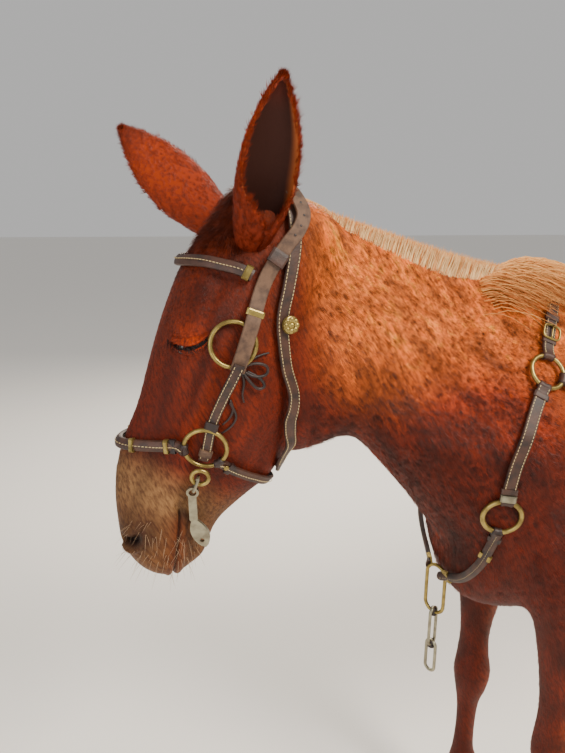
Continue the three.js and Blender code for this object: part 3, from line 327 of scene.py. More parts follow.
def smooth(p, edges, weight, times):
    n = len(p)
    count = np.bincount(edges.ravel(), minlength=n).astype(float)[:, None]
    for _ in range(times):
        total = np.stack([np.bincount(edges[:, 0], p[edges[:, 1], k], n)
                          + np.bincount(edges[:, 1], p[edges[:, 0], k], n) for k in range(3)], axis=1)
        p = p + weight[:, None] * 0.5 * (total / count - p)
    return p


skin_mesh = melt(FORMS, VOXEL)
p = coords(skin_mesh)
edges = edges_of(skin_mesh)
# Wide smoothing where limbs join the trunk, little on the face and the thin lower legs
trunk = step(-0.66, -0.55, p[:, 0]) * step(0.66, 0.84, p[:, 2])
neck_rows = np.array(NECK) / 1000
crest = np.interp(p[:, 0], neck_rows[:, 0], neck_rows[:, 1])
on_crest = step(0.08, 0.03, crest - p[:, 2]) * step(-0.10, -0.18, p[:, 0])
p = smooth(p, edges, (0.06 + 0.94 * trunk) * (1 - 0.88 * on_crest), 46)
p = smooth(p, edges, np.ones(len(p)), 3)
set_coords(skin_mesh, p)
print("skin after melting:", len(skin_mesh.polygons), "faces")

# %% [markdown]
# ## Finer skin on the face
# Lids, nostrils and lips are only millimetres thick, so the face needs smaller faces than the flank. The
# faces are split once over the whole head and twice round the eyes, the nostrils and the mouth.

# %% Split the faces of the head


def split_where(mesh, chosen):
    """Halve every edge that has both its ends among the chosen points."""
    bm = bmesh.new()
    bm.from_mesh(mesh)
    keep = set(np.nonzero(chosen)[0].tolist())
    picked = [e for e in bm.edges if e.verts[0].index in keep and e.verts[1].index in keep]
    bmesh.ops.subdivide_edges(bm, edges=picked, cuts=1, use_grid_fill=True, smooth=0.4)
    bm.to_mesh(mesh)
    bm.free()
    mesh.update()


def near_features(p):
    along, front, side = head_coords(p)
    eye = (along - 0.246) ** 2 + (front - 0.085) ** 2 < 0.054 ** 2
    muzzle = along > 0.495
    return (eye | muzzle) & (np.abs(side) < 0.2) & (p[:, 0] < -0.6)


p = coords(skin_mesh)
along, front, side = head_coords(p)
split_where(skin_mesh, (along > 0.02) & (p[:, 0] < -0.66) & (front > -0.2))
split_where(skin_mesh, near_features(coords(skin_mesh)))
print("skin with a finer head:", len(skin_mesh.polygons), "faces")

# %% [markdown]
# ## Bones, muscles and folds
# Each form is a soft swelling or hollow with a place, a reach and a height. On the head they are the brow,
# the hollow behind it, the long facial crest, the round cheek muscle and the soft muzzle. On the body they
# are the shoulder blade, the elbow muscle, the ribs, the point of the hip and the thigh.

# %% Swellings and hollows
# along, front, side, reach along, reach front, reach side, height (mm)
HEAD_FORMS = [
    (232, 100, 92, 46, 20, 30, 9), (150, 72, 92, 26, 22, 30, -10), (246, 82, 92, 26, 30, 30, 7),
    (330, 42, 92, 95, 11, 30, 9), (300, -60, 74, 120, 75, 40, 9), (425, 60, 62, 60, 28, 30, -7),
    (430, -40, 60, 50, 40, 30, -5), (588, 62, 50, 30, 26, 28, 9), (548, 70, 50, 26, 22, 28, -4),
    (615, -4, 40, 26, 24, 34, 6), (596, -62, 14, 26, 18, 30, 7), (205, 60, 100, 60, 9, 30, 4),
    (380, -95, 60, 60, 16, 40, -5), (470, 20, 60, 60, 14, 40, 3),
]
# x, y, z, reach x, reach y, reach z, height (mm), both sides alike
BODY_FORMS = [
    (-150, 180, 1230, 60, 80, 150, 9), (-205, 170, 1215, 20, 80, 150, -7), (-40, 190, 1180, 60, 80, 90, -7),
    (-50, 175, 960, 60, 60, 70, 12), (-310, 120, 1010, 50, 60, 60, 10), (700, 210, 1330, 60, 60, 40, 12),
    (760, 240, 1180, 60, 60, 80, -8), (930, 200, 1130, 90, 60, 130, 10), (640, 240, 1080, 50, 80, 120, -12),
    (-500, 90, 1240, 160, 60, 36, -7), (-480, 100, 1140, 150, 60, 30, 5), (-420, 110, 1330, 130, 60, 40, 4),
    (-640, 90, 1300, 26, 60, 110, -8),
]


def apply_forms(p, normals):
    along, front, side = (v * 1000 for v in head_coords(p))
    rise = np.zeros(len(p))
    for a, f, s, ra, rf, rs, h in HEAD_FORMS:
        rise += h * np.exp(-((along - a) / ra) ** 2 - ((front - f) / rf) ** 2
                           - ((np.abs(side) - s) / rs) ** 2)
    rise *= step(-600, -640, p[:, 0] * 1000)
    x, y, z = (p * 1000).T
    for px, py, pz, rx, ry, rz, h in BODY_FORMS:
        rise += h * np.exp(-((x - px) / rx) ** 2 - ((np.abs(y) - py) / ry) ** 2 - ((z - pz) / rz) ** 2)
    ribs = np.exp(-((x - 240) / 200) ** 2 - ((z - 1060) / 140) ** 2) * (np.abs(y) > 120)
    rise += 1.6 * ribs * np.sin(x / 1000 * 2 * math.pi / 0.052 + z / 1000 * 9)
    return p + normals * (rise / 1000)[:, None]


p = apply_forms(coords(skin_mesh), normals_of(skin_mesh))
set_coords(skin_mesh, p)

# %% [markdown]
# ## Lids, nostrils and lips
# The mule dozes, so the upper lid comes down over most of the eye and ends in a dark rim with lashes. The
# nostril is a comma with a soft wing over it, and the mouth is a long closed line with a full lower lip.

# %% Cut and raise the fine features
SLIT = dict(along=0.243, front=0.087, half=0.029, sag=0.0115, tilt=math.radians(32))
SLIT_DEPTH = 0.0090


def slit_place(along, front):
    """Place in the eye's own frame: u from the outer to the inner corner, v down from the slit's line."""
    a, f = along - SLIT["along"], front - SLIT["front"]
    u = f * math.cos(SLIT["tilt"]) + a * math.sin(SLIT["tilt"])
    v = a * math.cos(SLIT["tilt"]) - f * math.sin(SLIT["tilt"])
    return u, v - SLIT["sag"] * (1 - np.clip(u / SLIT["half"], -1, 1) ** 2)


def slit_point(u, v=0.0):
    """Along and front in the head of a place in the eye's frame."""
    v = v + SLIT["sag"] * (1 - np.clip(u / SLIT["half"], -1, 1) ** 2)
    along = SLIT["along"] + u * math.sin(SLIT["tilt"]) + v * math.cos(SLIT["tilt"])
    return along, SLIT["front"] + u * math.cos(SLIT["tilt"]) - v * math.sin(SLIT["tilt"])


# place of each fold of the lids below the slit, its height and its width
FOLDS = [(-0.0050, 0.0036, 0.0030), (0.0046, 0.0026, 0.0024), (-0.0150, -0.0030, 0.0017),
         (-0.0205, -0.0014, 0.0016),
         (0.0125, -0.0022, 0.0016), (0.0185, -0.0014, 0.0016)]


def lid_forms(p, n):
    along, front, side = head_coords(p)
    outer = (np.abs(side) > 0.05) & (p[:, 0] < -0.62)
    u, v = slit_place(along, front)
    t = np.clip(1 - (u / SLIT["half"]) ** 2, 0, 1)
    inside = np.exp(-(v / 0.0021) ** 4) * step(0, 0.12, t) * outer
    rise = -SLIT_DEPTH * inside
    wide = np.clip(1 - (u / 0.038) ** 2, 0, 1)
    for place, height, width in FOLDS:
        rise += height * np.exp(-((v - place * (0.35 + 0.65 * wide)) / width) ** 2) * step(0, 0.4,
                                                                                           wide) * outer
    spokes = np.sin(u / 0.0034 * math.pi) * np.exp(-((v + 0.0095) / 0.0040) ** 2)
    rise += 0.0005 * spokes * wide * outer
    return p + n * rise[:, None], inside


def nostril_forms(p, n):
    along, front, side = head_coords(p)
    outer = (np.abs(side) > 0.012) & (p[:, 0] < -0.7)
    u, v = along - 0.592, front - 0.0635
    c, s = math.cos(math.radians(-38)), math.sin(math.radians(-38))
    a, b = c * u - s * v, s * u + c * v
    b = b - 6 * a ** 2
    r = np.sqrt((a / 0.0200) ** 2 + (b / 0.0092) ** 2)
    hole = np.exp(-r ** 4) * outer
    rim = np.exp(-((r - 1.55) / 0.45) ** 2) * outer * (b < 0.004)
    return p + n * (-0.020 * hole + 0.0042 * rim)[:, None], hole


MOUTH = np.array([(0.512, 0.006), (0.540, -0.003), (0.570, -0.011), (0.600, -0.018), (0.625, -0.024),
                  (0.650, -0.030)])


def mouth_line(along):
    return np.interp(along, MOUTH[:, 0], MOUTH[:, 1])


def mouth_forms(p, n):
    along, front, side = head_coords(p)
    on = step(0.508, 0.522, along) * (p[:, 0] < -0.7)
    v = front - mouth_line(along)
    rise = -0.0048 * np.exp(-(v / 0.0018) ** 2) * on
    rise += 0.0030 * np.exp(-((v - 0.0085) / 0.0055) ** 2) * on
    rise += 0.0036 * np.exp(-((v + 0.0095) / 0.0060) ** 2) * on
    rise += -0.0030 * soft_spot(along, v, (0.512, 0), (0.010, 0.012)) * (np.abs(side) > 0.03)
    # Two creases behind the corner of the mouth
    for middle, reach in (((0.500, 0.012), (0.012, 0.003)), ((0.494, 0.000), (0.014, 0.003))):
        rise += -0.0016 * soft_spot(along, front, middle, reach)
    return p + n * rise[:, None], np.exp(-(v / 0.0022) ** 2) * on


p = coords(skin_mesh)
n = normals_of(skin_mesh)
p, lid_dark = lid_forms(p, n)
p, nostril_dark = nostril_forms(p, n)
p, mouth_dark = mouth_forms(p, n)
p = smooth(p, edges_of(skin_mesh), 0.35 * near_features(p), 1)
set_coords(skin_mesh, p)
p = coords(skin_mesh)
n = normals_of(skin_mesh)
print("skin reaches", p.min(0).round(3), p.max(0).round(3))

# %% [markdown]
# ## Markings, with painted light and shade
# The coat is a saturated chestnut, darker brown on the forehead and down the nose, and mealy grey on the
# muzzle, as donkeys give their foals. Light and shade are painted into it as well: the crest of the neck is
# painted paler as if in sun, the underside of the neck is painted darker as if in shade, the head is darker
# partly in its own colour and partly as painted shade, and light and dark streaks along the hair are partly a
# painted sheen. Each point of the skin stores its own colour, and every tuft later takes the colour of the
# skin where it is rooted.

# %% Colours on the skin
CHESTNUT = linear(148, 48, 8)
# Pale chestnut for the crest of the neck: painted sunlight.
SUNLIT_CHESTNUT = linear(240, 122, 40)
DEEP = linear(80, 20, 3)
# Dark brown of the head: partly its own darker hair, partly painted shade.
SHADED_FACE = linear(98, 27, 5)
MEALY = linear(112, 76, 42)
SAND = linear(140, 102, 64)
GREY = linear(58, 38, 24)
DARK_SKIN = linear(26, 17, 14)
LIP = linear(104, 46, 14)
BELLY = linear(170, 94, 46)


def mix(a, b, t):
    t = np.asarray(t, float)[..., None]
    return a * (1 - t) + b * t


def waves(p, scale, seed):
    """A smooth random pattern, made of a few crossing waves."""
    r = np.random.default_rng(seed)
    total = np.zeros(len(p))
    for _ in range(7):
        k = unit(r.normal(size=3)) * (2 * math.pi / scale) * r.uniform(0.6, 1.6)
        total += np.sin(p @ k + r.uniform(0, 6.28))
    return total / 7


def lie_of(p):
    """The way that the hair lies at each place."""
    x, y, z = p.T
    neck = unit(np.array([0.62, 0, -0.78]))
    trunk_way = np.stack([np.full(len(p), 0.86), np.zeros(len(p)), -0.25 - 0.35 * step(1.30, 1.0, z)], axis=1)
    way = mix(np.tile(neck, (len(p), 1)), trunk_way, step(-0.35, -0.15, x))
    way = mix(way, np.tile(ALONG * 0.9 + np.array([0.25, 0, -0.1]), (len(p), 1)), step(-0.62, -0.69, x))
    way = mix(way, np.tile((0.05, 0, -1.0), (len(p), 1)), step(0.92, 0.74, z) * (region_of(p) == 3))
    breast = step(-0.22, -0.33, x) * step(1.02, 0.92, z) * step(0.70, 0.78, z)
    way = mix(way, np.tile((0.1, 0, -1.0), (len(p), 1)), breast)
    return way + 0.10 * np.stack([waves(p, 0.10, 21), waves(p, 0.10, 22), waves(p, 0.10, 23)], axis=1)


def region_of(p):
    """0 head, 1 neck, 2 trunk, 3 legs."""
    x, y, z = p.T
    region = np.full(len(p), 2)
    region[x < -0.26 - 0.29 * (1.19 - z)] = 1
    region[x < -0.645] = 0
    region[(z < 0.80) & ((x < 0.1) | (x > 0.62))] = 3
    region[(z < 0.90) & (x > 0.62)] = 3
    return region


def streaks(p, fine, seed):
    """Waves drawn out along the lie of the hair, in three patches that are blended."""
    x, y, z = p.T
    total = np.zeros(len(p))
    shares = [step(-0.62, -0.69, x), 0, step(-0.35, -0.15, x)]
    shares[1] = 1 - np.clip(shares[0] + shares[2], 0, 1)
    for share, way in zip(shares, (ALONG, unit([0.62, 0, -0.78]), unit([0.8, 0, -0.6]))):
        pulled = p - 0.78 * np.outer(p @ way, way)
        total += share * waves(pulled, fine, seed)
    return total


def coat_colour(p):
    along, front, side = head_coords(p)
    x, y, z = p.T
    on_head = step(-0.63, -0.70, x)
    crest = np.interp(x, [-0.70, -0.46, -0.28, -0.10], [1.52, 1.465, 1.415, 1.415])
    low_neck = step(0.03, 0.34, crest - z) * step(-0.02, -0.20, x)
    # Painted light and shade: the crest is painted paler as if in sun, and low_neck paints the underside of the
    # neck darker as shade.
    c = mix(np.tile(SUNLIT_CHESTNUT, (len(p), 1)), CHESTNUT, np.clip(0.12 + low_neck + 0.7 * waves(p, 0.34, 3), 0, 1))
    c = mix(c, DEEP, 0.95 * low_neck * step(0.15, 0.33, crest - z + 0.05 * waves(p, 0.12, 9)))
    c = mix(c, CHESTNUT * 0.85, 0.9 * step(-0.12, 0.05, x))
    # The head is darker: partly its own darker hair, partly painted shade.
    c = mix(c, SHADED_FACE, 0.95 * step(-0.60, -0.69, x - 0.10 * (1.45 - z)))
    c = mix(c, CHESTNUT, 0.55 * on_head * soft_spot(along, front, (0.30, 0.02), (0.12, 0.05)))
    c = mix(c, DEEP, 0.6 * on_head * soft_spot(along, front, (0.15, 0.06), (0.08, 0.06)))
    lid = on_head * soft_spot(along, front, (0.243, 0.088), (0.020, 0.028)) * (np.abs(side) > 0.05)
    c = mix(c, CHESTNUT * 1.25, 0.8 * lid)
    # Painted shade in the hollow above the eye.
    hollow_shade = soft_spot(along, front, (0.168, 0.088), (0.030, 0.024)) * (np.abs(side) > 0.04)
    c = mix(c, DEEP * 0.55, 0.75 * on_head * hollow_shade)
    # Light and dark streaks along the lie of the hair, strongest on the neck: partly strand tone, partly painted
    # sheen and shade.
    depth = 0.95 - 0.65 * step(-0.22, 0.02, x) - 0.25 * on_head
    sheen_streaks = np.clip(depth * streaks(p, 0.042, 31), -0.5, 0.7)[:, None]
    c = c * (1 + sheen_streaks)
    muzzle = on_head * step(0.435, 0.51, along + 0.12 * np.clip(front, -0.1, 0.1))
    c = mix(c, MEALY * (1 + 0.4 * sheen_streaks), 0.85 * muzzle)
    c = mix(c, SAND * (1 + 0.6 * sheen_streaks), 0.65 * muzzle * step(0.56, 0.51, along) * step(-0.06, 0.0, front))
    # Grey above the nostril: partly grey skin, partly painted shade in the fold above it.
    c = mix(c, GREY, 0.85 * on_head * soft_spot(along, front, (0.572, 0.048), (0.034, 0.036)))
    # Darker round the corner of the mouth: partly its dark skin, partly painted shade in the recess.
    corner = soft_spot(along, front, (0.525, -0.003), (0.018, 0.013)) * (np.abs(side) > 0.02)
    c = mix(c, GREY * 0.5, 0.75 * on_head * corner)
    c = mix(c, LIP, 0.8 * muzzle * np.exp(-((front - mouth_line(along)) / 0.018) ** 2)
            * step(0.51, 0.54, along))
    c = mix(c, BELLY, 0.6 * step(0.86, 0.78, z) * step(-0.1, 0.1, x) * step(0.55, 0.65, z))
    c = mix(c, DEEP, 0.35 * step(0.50, 0.30, z) + 0.3 * step(0.30, 0.14, z))
    return np.clip(c, 0, 1)


colour = coat_colour(p)
# The slit of the lids, the nostril and the mouth line are painted dark: partly dark skin, partly painted shade in
# these openings, nearly black in the nostril.
colour = mix(colour, DARK_SKIN, np.clip(lid_dark * 1.1, 0, 1))
colour = mix(colour, DARK_SKIN * 0.3, np.clip(nostril_dark * 1.6, 0, 1))
colour = mix(colour, DARK_SKIN, np.clip(mouth_dark * 0.9, 0, 1))


def store_colour(mesh, rgb, name="tint"):
    att = mesh.color_attributes.new(name, "FLOAT_COLOR", "POINT")
    rgba = np.ones((len(rgb), 4))
    rgba[:, :3] = rgb
    att.data.foreach_set("color", rgba.ravel())


store_colour(skin_mesh, colour)

# %% [markdown]
# ## Materials
# Hair, horn, leather and brass are told apart by how they scatter light. Hair and leather are rough with a
# fine bump, horn is smoother, and worn brass is a dull yellow metal with brown in its hollows.

# %% Material maker


def material(name, colour=None, rough=0.6, metal=0.0, tint=None, noise=None, bump=None, shine=0.5, coat=0.0,
             lean=0.0):
    """tint names a colour attribute. noise is (scale, stretch, dark colour, amount) and bump is (scale,
    stretch, height in mm). lean turns the pattern's long way about Y."""
    mat = bpy.data.materials.new(name)
    mat.use_nodes = True
    nodes, links = mat.node_tree.nodes, mat.node_tree.links
    shader = nodes["Principled BSDF"]
    for key, value in (("Roughness", rough), ("Metallic", metal), ("Specular IOR Level", shine),
                       ("Coat Weight", coat)):
        shader.inputs[key].default_value = value
    if colour is not None:
        shader.inputs["Base Color"].default_value = (*colour, 1)
    coordinates = nodes.new("ShaderNodeTexCoord")
    source = None
    if tint:
        source = nodes.new("ShaderNodeAttribute")
        source.attribute_name = tint
        source = source.outputs["Color"]

    def pattern(scale, stretch, detail):
        mapping = nodes.new("ShaderNodeMapping")
        mapping.vector_type = "TEXTURE"
        mapping.inputs["Scale"].default_value = [1 / v for v in stretch]
        mapping.inputs["Rotation"].default_value = (0, lean, 0)
        links.new(coordinates.outputs["Object"], mapping.inputs["Vector"])
        texture = nodes.new("ShaderNodeTexNoise")
        texture.inputs["Scale"].default_value = scale
        texture.inputs["Detail"].default_value = detail
        links.new(mapping.outputs["Vector"], texture.inputs["Vector"])
        return texture.outputs["Fac"]

    if noise:
        scale, stretch, dark, amount = noise
        ramp = nodes.new("ShaderNodeMapRange")
        for key, value in (("From Min", 0.40), ("From Max", 0.66), ("To Max", amount)):
            ramp.inputs[key].default_value = value
        links.new(pattern(scale, stretch, 4), ramp.inputs["Value"])
        blend = nodes.new("ShaderNodeMix")
        blend.data_type = "RGBA"
        links.new(ramp.outputs["Result"], blend.inputs["Factor"])
        if source:
            links.new(source, blend.inputs["A"])
        else:
            blend.inputs["A"].default_value = (*colour, 1)
        blend.inputs["B"].default_value = (*dark, 1)
        source = blend.outputs["Result"]
    if source:
        links.new(source, shader.inputs["Base Color"])
    if bump:
        scale, stretch, height = bump
        node = nodes.new("ShaderNodeBump")
        node.inputs["Distance"].default_value = height / 1000
        node.inputs["Strength"].default_value = 1.0
        links.new(pattern(scale, stretch, 5), node.inputs["Height"])
        links.new(node.outputs["Normal"], shader.inputs["Normal"])
    return mat


SKIN = material("short coat", rough=0.60, tint="tint", noise=(230, (1, 1, 0.22), linear(52, 16, 4), 0.7),
                bump=(480, (1, 1, 0.20), 1.2), shine=0.2, lean=-0.45)
# The hair's light and dark strands lie another way on each part of the body
TUFTS = [material(f"coat tufts {part}", rough=0.45, tint="tint", shine=0.22, lean=lean,
                  noise=(scale, (1, 1, 0.20), linear(40, 12, 3), amount))
         for part, lean, scale, amount in (("head", 0.37, 330, 0.45), ("neck", -0.67, 200, 0.92),
                                           ("trunk", -1.0, 210, 0.6), ("legs", 0.0, 300, 0.4))]
HAIR = material("long hair", rough=0.45, tint="tint", shine=0.25)
HORN = material("horn", linear(74, 60, 48), rough=0.5, noise=(14, (1, 1, 5), linear(36, 28, 22), 0.7),
                bump=(30, (1, 1, 8), 0.5))
EYEBALL = material("eyeball", linear(22, 13, 9), rough=0.06, coat=0.6)
THREAD = linear(196, 172, 124)
STITCH = material("stitching", THREAD, rough=0.8)
EVEN = (1, 1, 1)
INNER_EAR = material("inner ear", rough=0.7, tint="tint", bump=(200, EVEN, 0.4), shine=0.2)


def leather(name, colour, dark, rough, scale, amount):
    """Grained leather with darker blotches."""
    return material(name, linear(*colour), rough=rough, noise=(scale, EVEN, linear(*dark), amount),
                    bump=(420, EVEN, 0.35))


def worn_metal(name, colour, dark, rough, amount):
    return material(name, linear(*colour), rough=rough, metal=0.85, noise=(70, EVEN, linear(*dark), amount),
                    bump=(160, EVEN, 0.12))


LEATHER = leather("leather", (70, 42, 30), (30, 19, 16), 0.52, 55, 0.85)
EDGE = leather("dusty leather", (104, 76, 56), (58, 38, 28), 0.7, 80, 0.8)
DARK_LEATHER = leather("dark leather", (46, 26, 20), (20, 13, 11), 0.5, 60, 0.8)
BRASS = worn_metal("brass", (168, 146, 82), (94, 76, 40), 0.34, 0.7)
STEEL = worn_metal("steel", (158, 152, 128), (96, 84, 70), 0.36, 0.6)


def add(name, mesh, mat, smooth_shade=True):
    """Link a finished mesh as a piece of the mule."""
    mesh.transform(Matrix.Translation(Vector(SHIFT)))
    if mat is not None:
        mesh.materials.clear()
        mesh.materials.append(mat)
    if smooth_shade:
        mesh.polygons.foreach_set("use_smooth", np.ones(len(mesh.polygons), bool))
    mesh.update()
    obj = new_object(name, mesh)
    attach(obj, "root")
    return obj


skin_world = coords(skin_mesh)
skin_tri = skin_mesh.copy()
bm = bmesh.new()
bm.from_mesh(skin_tri)
bmesh.ops.triangulate(bm, faces=bm.faces)
bm.to_mesh(skin_tri)
skin_bvh = BVHTree.FromBMesh(bm)
bm.free()
TRI = table_of(skin_tri.polygons, "vertices", 3, int)
SKIN_N = normals_of(skin_mesh)
skin = add("skin", skin_mesh, SKIN)
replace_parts(skin, "head", "neck", "torso", "leg_front_left", "leg_front_right", "leg_hind_left",
            "leg_hind_right")
print("skin triangles:", len(TRI))


def skin_from_side(start, side, reach=10.0):
    """Where a level line from one side meets the skin, and which way the skin faces there."""
    return skin_bvh.ray_cast(Vector(start), Vector((0, -side, 0)), reach)[:2]


def ball_mesh(name, around, rows, radius):
    ball = bmesh.new()
    bmesh.ops.create_uvsphere(ball, u_segments=around, v_segments=rows, radius=radius)
    mesh = bpy.data.meshes.new(name)
    ball.to_mesh(mesh)
    ball.free()
    return mesh

# %% [markdown]
# ## Ears
# A mule's ear is a long leaf of gristle rolled into a tube at its root and open towards its tip. The left
# ear listens to the side, the right one forward and out.

# %% Roll two leaves
EARS = {
    "left": dict(base=(-746, -62, 1462), tip=(-717, -122, 1690), facing=(0.4, -1, 0.10)),
    "right": dict(base=(-742, 60, 1476), tip=(-916, 152, 1662), facing=(0.1, 1, -0.25)),
}
# share of the length, half-width, depth of the roll, half the angle that the roll closes
EAR_FORM = [
    (0.00, 20, 20, 178), (0.10, 27, 26, 177), (0.20, 36, 30, 172), (0.30, 42, 30, 140), (0.42, 48, 28, 108),
    (0.58, 48, 23, 96), (0.72, 41, 17, 92), (0.84, 29, 12, 90), (0.93, 17, 8, 90), (0.985, 6, 4, 90),
    (1.0, 1.5, 1.5, 90),
]
EAR_WALL = 0.0042
EAR_AROUND = 26


def ear_colour(n, side, share):
    """Chestnut that darkens towards the root, more on the near ear, and again at the very tip. The darkening at
    the root is painted shade, strongest on the near ear, which is in shade.
    """
    c = mix(np.tile(CHESTNUT, (n, 1)), SHADED_FACE, (0.75 if side < 0 else 0.30) * step(0.9, 0.1, share))
    return c, 0.5 * step(0.8, 1.0, share)


def ear_mesh(place, around=EAR_AROUND, per=7):
    base, tip = (np.array(place[k], float) / 1000 for k in ("base", "tip"))
    up = tip - base
    length = np.linalg.norm(up)
    up = up / length
    facing = np.array(place["facing"], float)
    facing = unit(facing - up * (facing @ up))
    across = np.cross(up, facing)
    table = spline(EAR_FORM, per)
    rings = []
    for share, width, depth, close in table:
        share = min(share, 1.0)
        width, depth = width / 1000, depth / 1000
        angles = np.radians(np.linspace(-close, close, around)) - math.pi / 2
        wall = EAR_WALL * (0.35 + 0.65 * np.sqrt(max(1 - share, 0)))
        outer = np.stack([width * np.cos(angles), depth * np.sin(angles)], axis=1)
        inner = np.stack([(width - wall) * np.cos(angles), (depth - wall) * np.sin(angles)], axis=1)
        lean = 0.012 * math.sin(math.pi * share) + 0.010 * share ** 2
        ring = np.vstack([outer, inner[::-1]])
        sunk = np.array([0, -np.sign(base[1]) * 0.022, -0.012]) * (1 - step(0, 0.16, share))
        rings.append(base + sunk + up * share * length + ring[:, :1] * across + (ring[:, 1:] + lean) * facing)
    verts = np.vstack(rings)
    n_ring = 2 * around
    mesh = face_out(new_mesh("ear", verts, tube_faces(len(rings), n_ring)))
    k = np.tile(np.arange(n_ring), len(rings))
    share = np.repeat(np.clip(table[:, 0], 0, 1), n_ring)
    inside = k >= around
    edge = np.minimum(k % around, around - 1 - k % around) / (around / 2)
    c, tip_share = ear_colour(len(verts), base[1], share)
    # Inside the ear: pale near the rims, near black deep in the roll, partly darker skin and partly painted shade
    # in the ear's hollow.
    inner_c = mix(np.tile(linear(176, 92, 46), (len(verts), 1)), linear(46, 18, 10), step(0.06, 0.40, edge))
    c = np.where(inside[:, None], inner_c, c)
    store_colour(mesh, mix(c, DEEP, tip_share))
    return mesh, (base, up, facing, across, length)


ear_frames = {}
for name, place in EARS.items():
    mesh, ear_frames[name] = ear_mesh(place)
    ear = add(f"ear_{name}_leaf", mesh, INNER_EAR)
    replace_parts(ear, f"ear_{name}")
    print(f"ear_{name}: {len(mesh.polygons)} faces")

# %% [markdown]
# ## Eyes
# The eyeballs are dark wet balls behind the lids. A level line from the side finds the bottom of the slit that
# was cut between the lids, and the ball is set so that it fills the slit to a few millimetres under them.

# %% Set the eyeballs
BALL_RADIUS = 0.0185
BALL_DEPTH = 0.0042
for name, side in (("left", -1), ("right", 1)):
    slit_along, slit_front = slit_point(0.0)
    start = in_head(slit_along, slit_front, side * 0.16)
    surface, _ = skin_from_side(start, side)
    centre = np.array(surface) - np.array([0, side, 0]) * (BALL_RADIUS + BALL_DEPTH - SLIT_DEPTH)
    mesh = ball_mesh("ball", 32, 20, BALL_RADIUS)
    mesh.transform(Matrix.Translation(Vector(centre)))
    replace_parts(add(f"eyeball_{name}", mesh, EYEBALL), f"eye_{name}")
print("eyes set at", centre.round(3))

# %% [markdown]
# ## Bridle and breast collar
# Leather tack is cut in flat strips, with edges rounded by a tool and two rows of waxed stitches. Every
# strap here is a strip swept along a route over the skin, at the height of the plain strap that came with
# the part, so it passes over what lies under it. The rings are drawn brass, set where the plain rings lie.

# %% Sweep a strip of leather


def fast_mesh(name, verts, tris):
    mesh = bpy.data.meshes.new(name)
    verts, tris = np.asarray(verts, float), np.asarray(tris, int)
    mesh.vertices.add(len(verts))
    mesh.vertices.foreach_set("co", verts.ravel())
    mesh.loops.add(tris.size)
    mesh.loops.foreach_set("vertex_index", tris.ravel())
    mesh.polygons.add(len(tris))
    mesh.polygons.foreach_set("loop_start", np.arange(len(tris)) * tris.shape[1])
    mesh.update(calc_edges=True)
    return mesh


def node_points(name):
    """Corner points of a loaded node, in the frame of the tables above."""
    return coords(bpy.data.objects[name].data) - SHIFT


def nodes_bvh(names):
    """A tree of the faces of some loaded nodes or pieces, for finding where a line meets them."""
    verts, faces = [], []
    for name in names:
        base = len(verts)
        verts += [Vector(v) for v in node_points(name)]
        faces += [tuple(i + base for i in f.vertices) for f in bpy.data.objects[name].data.polygons]
    return BVHTree.FromPolygons(verts, faces)


def nearest_skin(p):
    at, normal, _, _ = skin_bvh.find_nearest(Vector(p))
    return np.array(at), np.array(normal)


def even(route, gap, closed=False):
    """A smooth curve through the route's points, cut in even steps."""
    pts = np.array(route, float)
    if closed:
        pts = np.vstack([pts[-2:], pts, pts[:3]])
    fine = spline(pts, 12)
    if closed:
        fine = fine[24:-24]
    walked = np.concatenate([[0], np.cumsum(np.linalg.norm(np.diff(fine, axis=0), axis=1))])
    n = max(6, int(walked[-1] / gap))
    want = np.linspace(0, walked[-1], n + 1)[:-1 if closed else None]
    return np.stack([np.interp(want, walked, fine[:, k]) for k in range(3)], axis=1)


def average(a, closed, times):
    for _ in range(times):
        if closed:
            a = (np.roll(a, 1, axis=0) + a + np.roll(a, -1, axis=0)) / 3
        else:
            b = np.concatenate([a[:1], a, a[-1:]])
            a = (b[:-2] + b[1:-1] + b[2:]) / 3
    return a


OVAL_HALF_WIDTH = 0.021


def ring_frame(name):
    """Centre, axes and radius of a loaded ring, from its own points. For the oval, those of its top bend."""
    pts = node_points(name)
    centre = (pts.min(0) + pts.max(0)) / 2
    centre = pts.mean(0) * 0.5 + centre * 0.5
    _, _, axes = np.linalg.svd(pts - pts.mean(0), full_matrices=False)
    flat = (pts - centre) - np.outer((pts - centre) @ axes[2], axes[2])
    reach = np.linalg.norm(flat, axis=1)
    if reach.max() > 1.6 * reach.min():
        centre = pts.mean(0) + [0, 0, (pts[:, 2].max() - pts[:, 2].min()) / 2 - OVAL_HALF_WIDTH]
        return centre, axes, OVAL_HALF_WIDTH
    return centre, axes, (reach.max() + reach.min()) / 2


STRAPS = {}
SEEK = 0.07


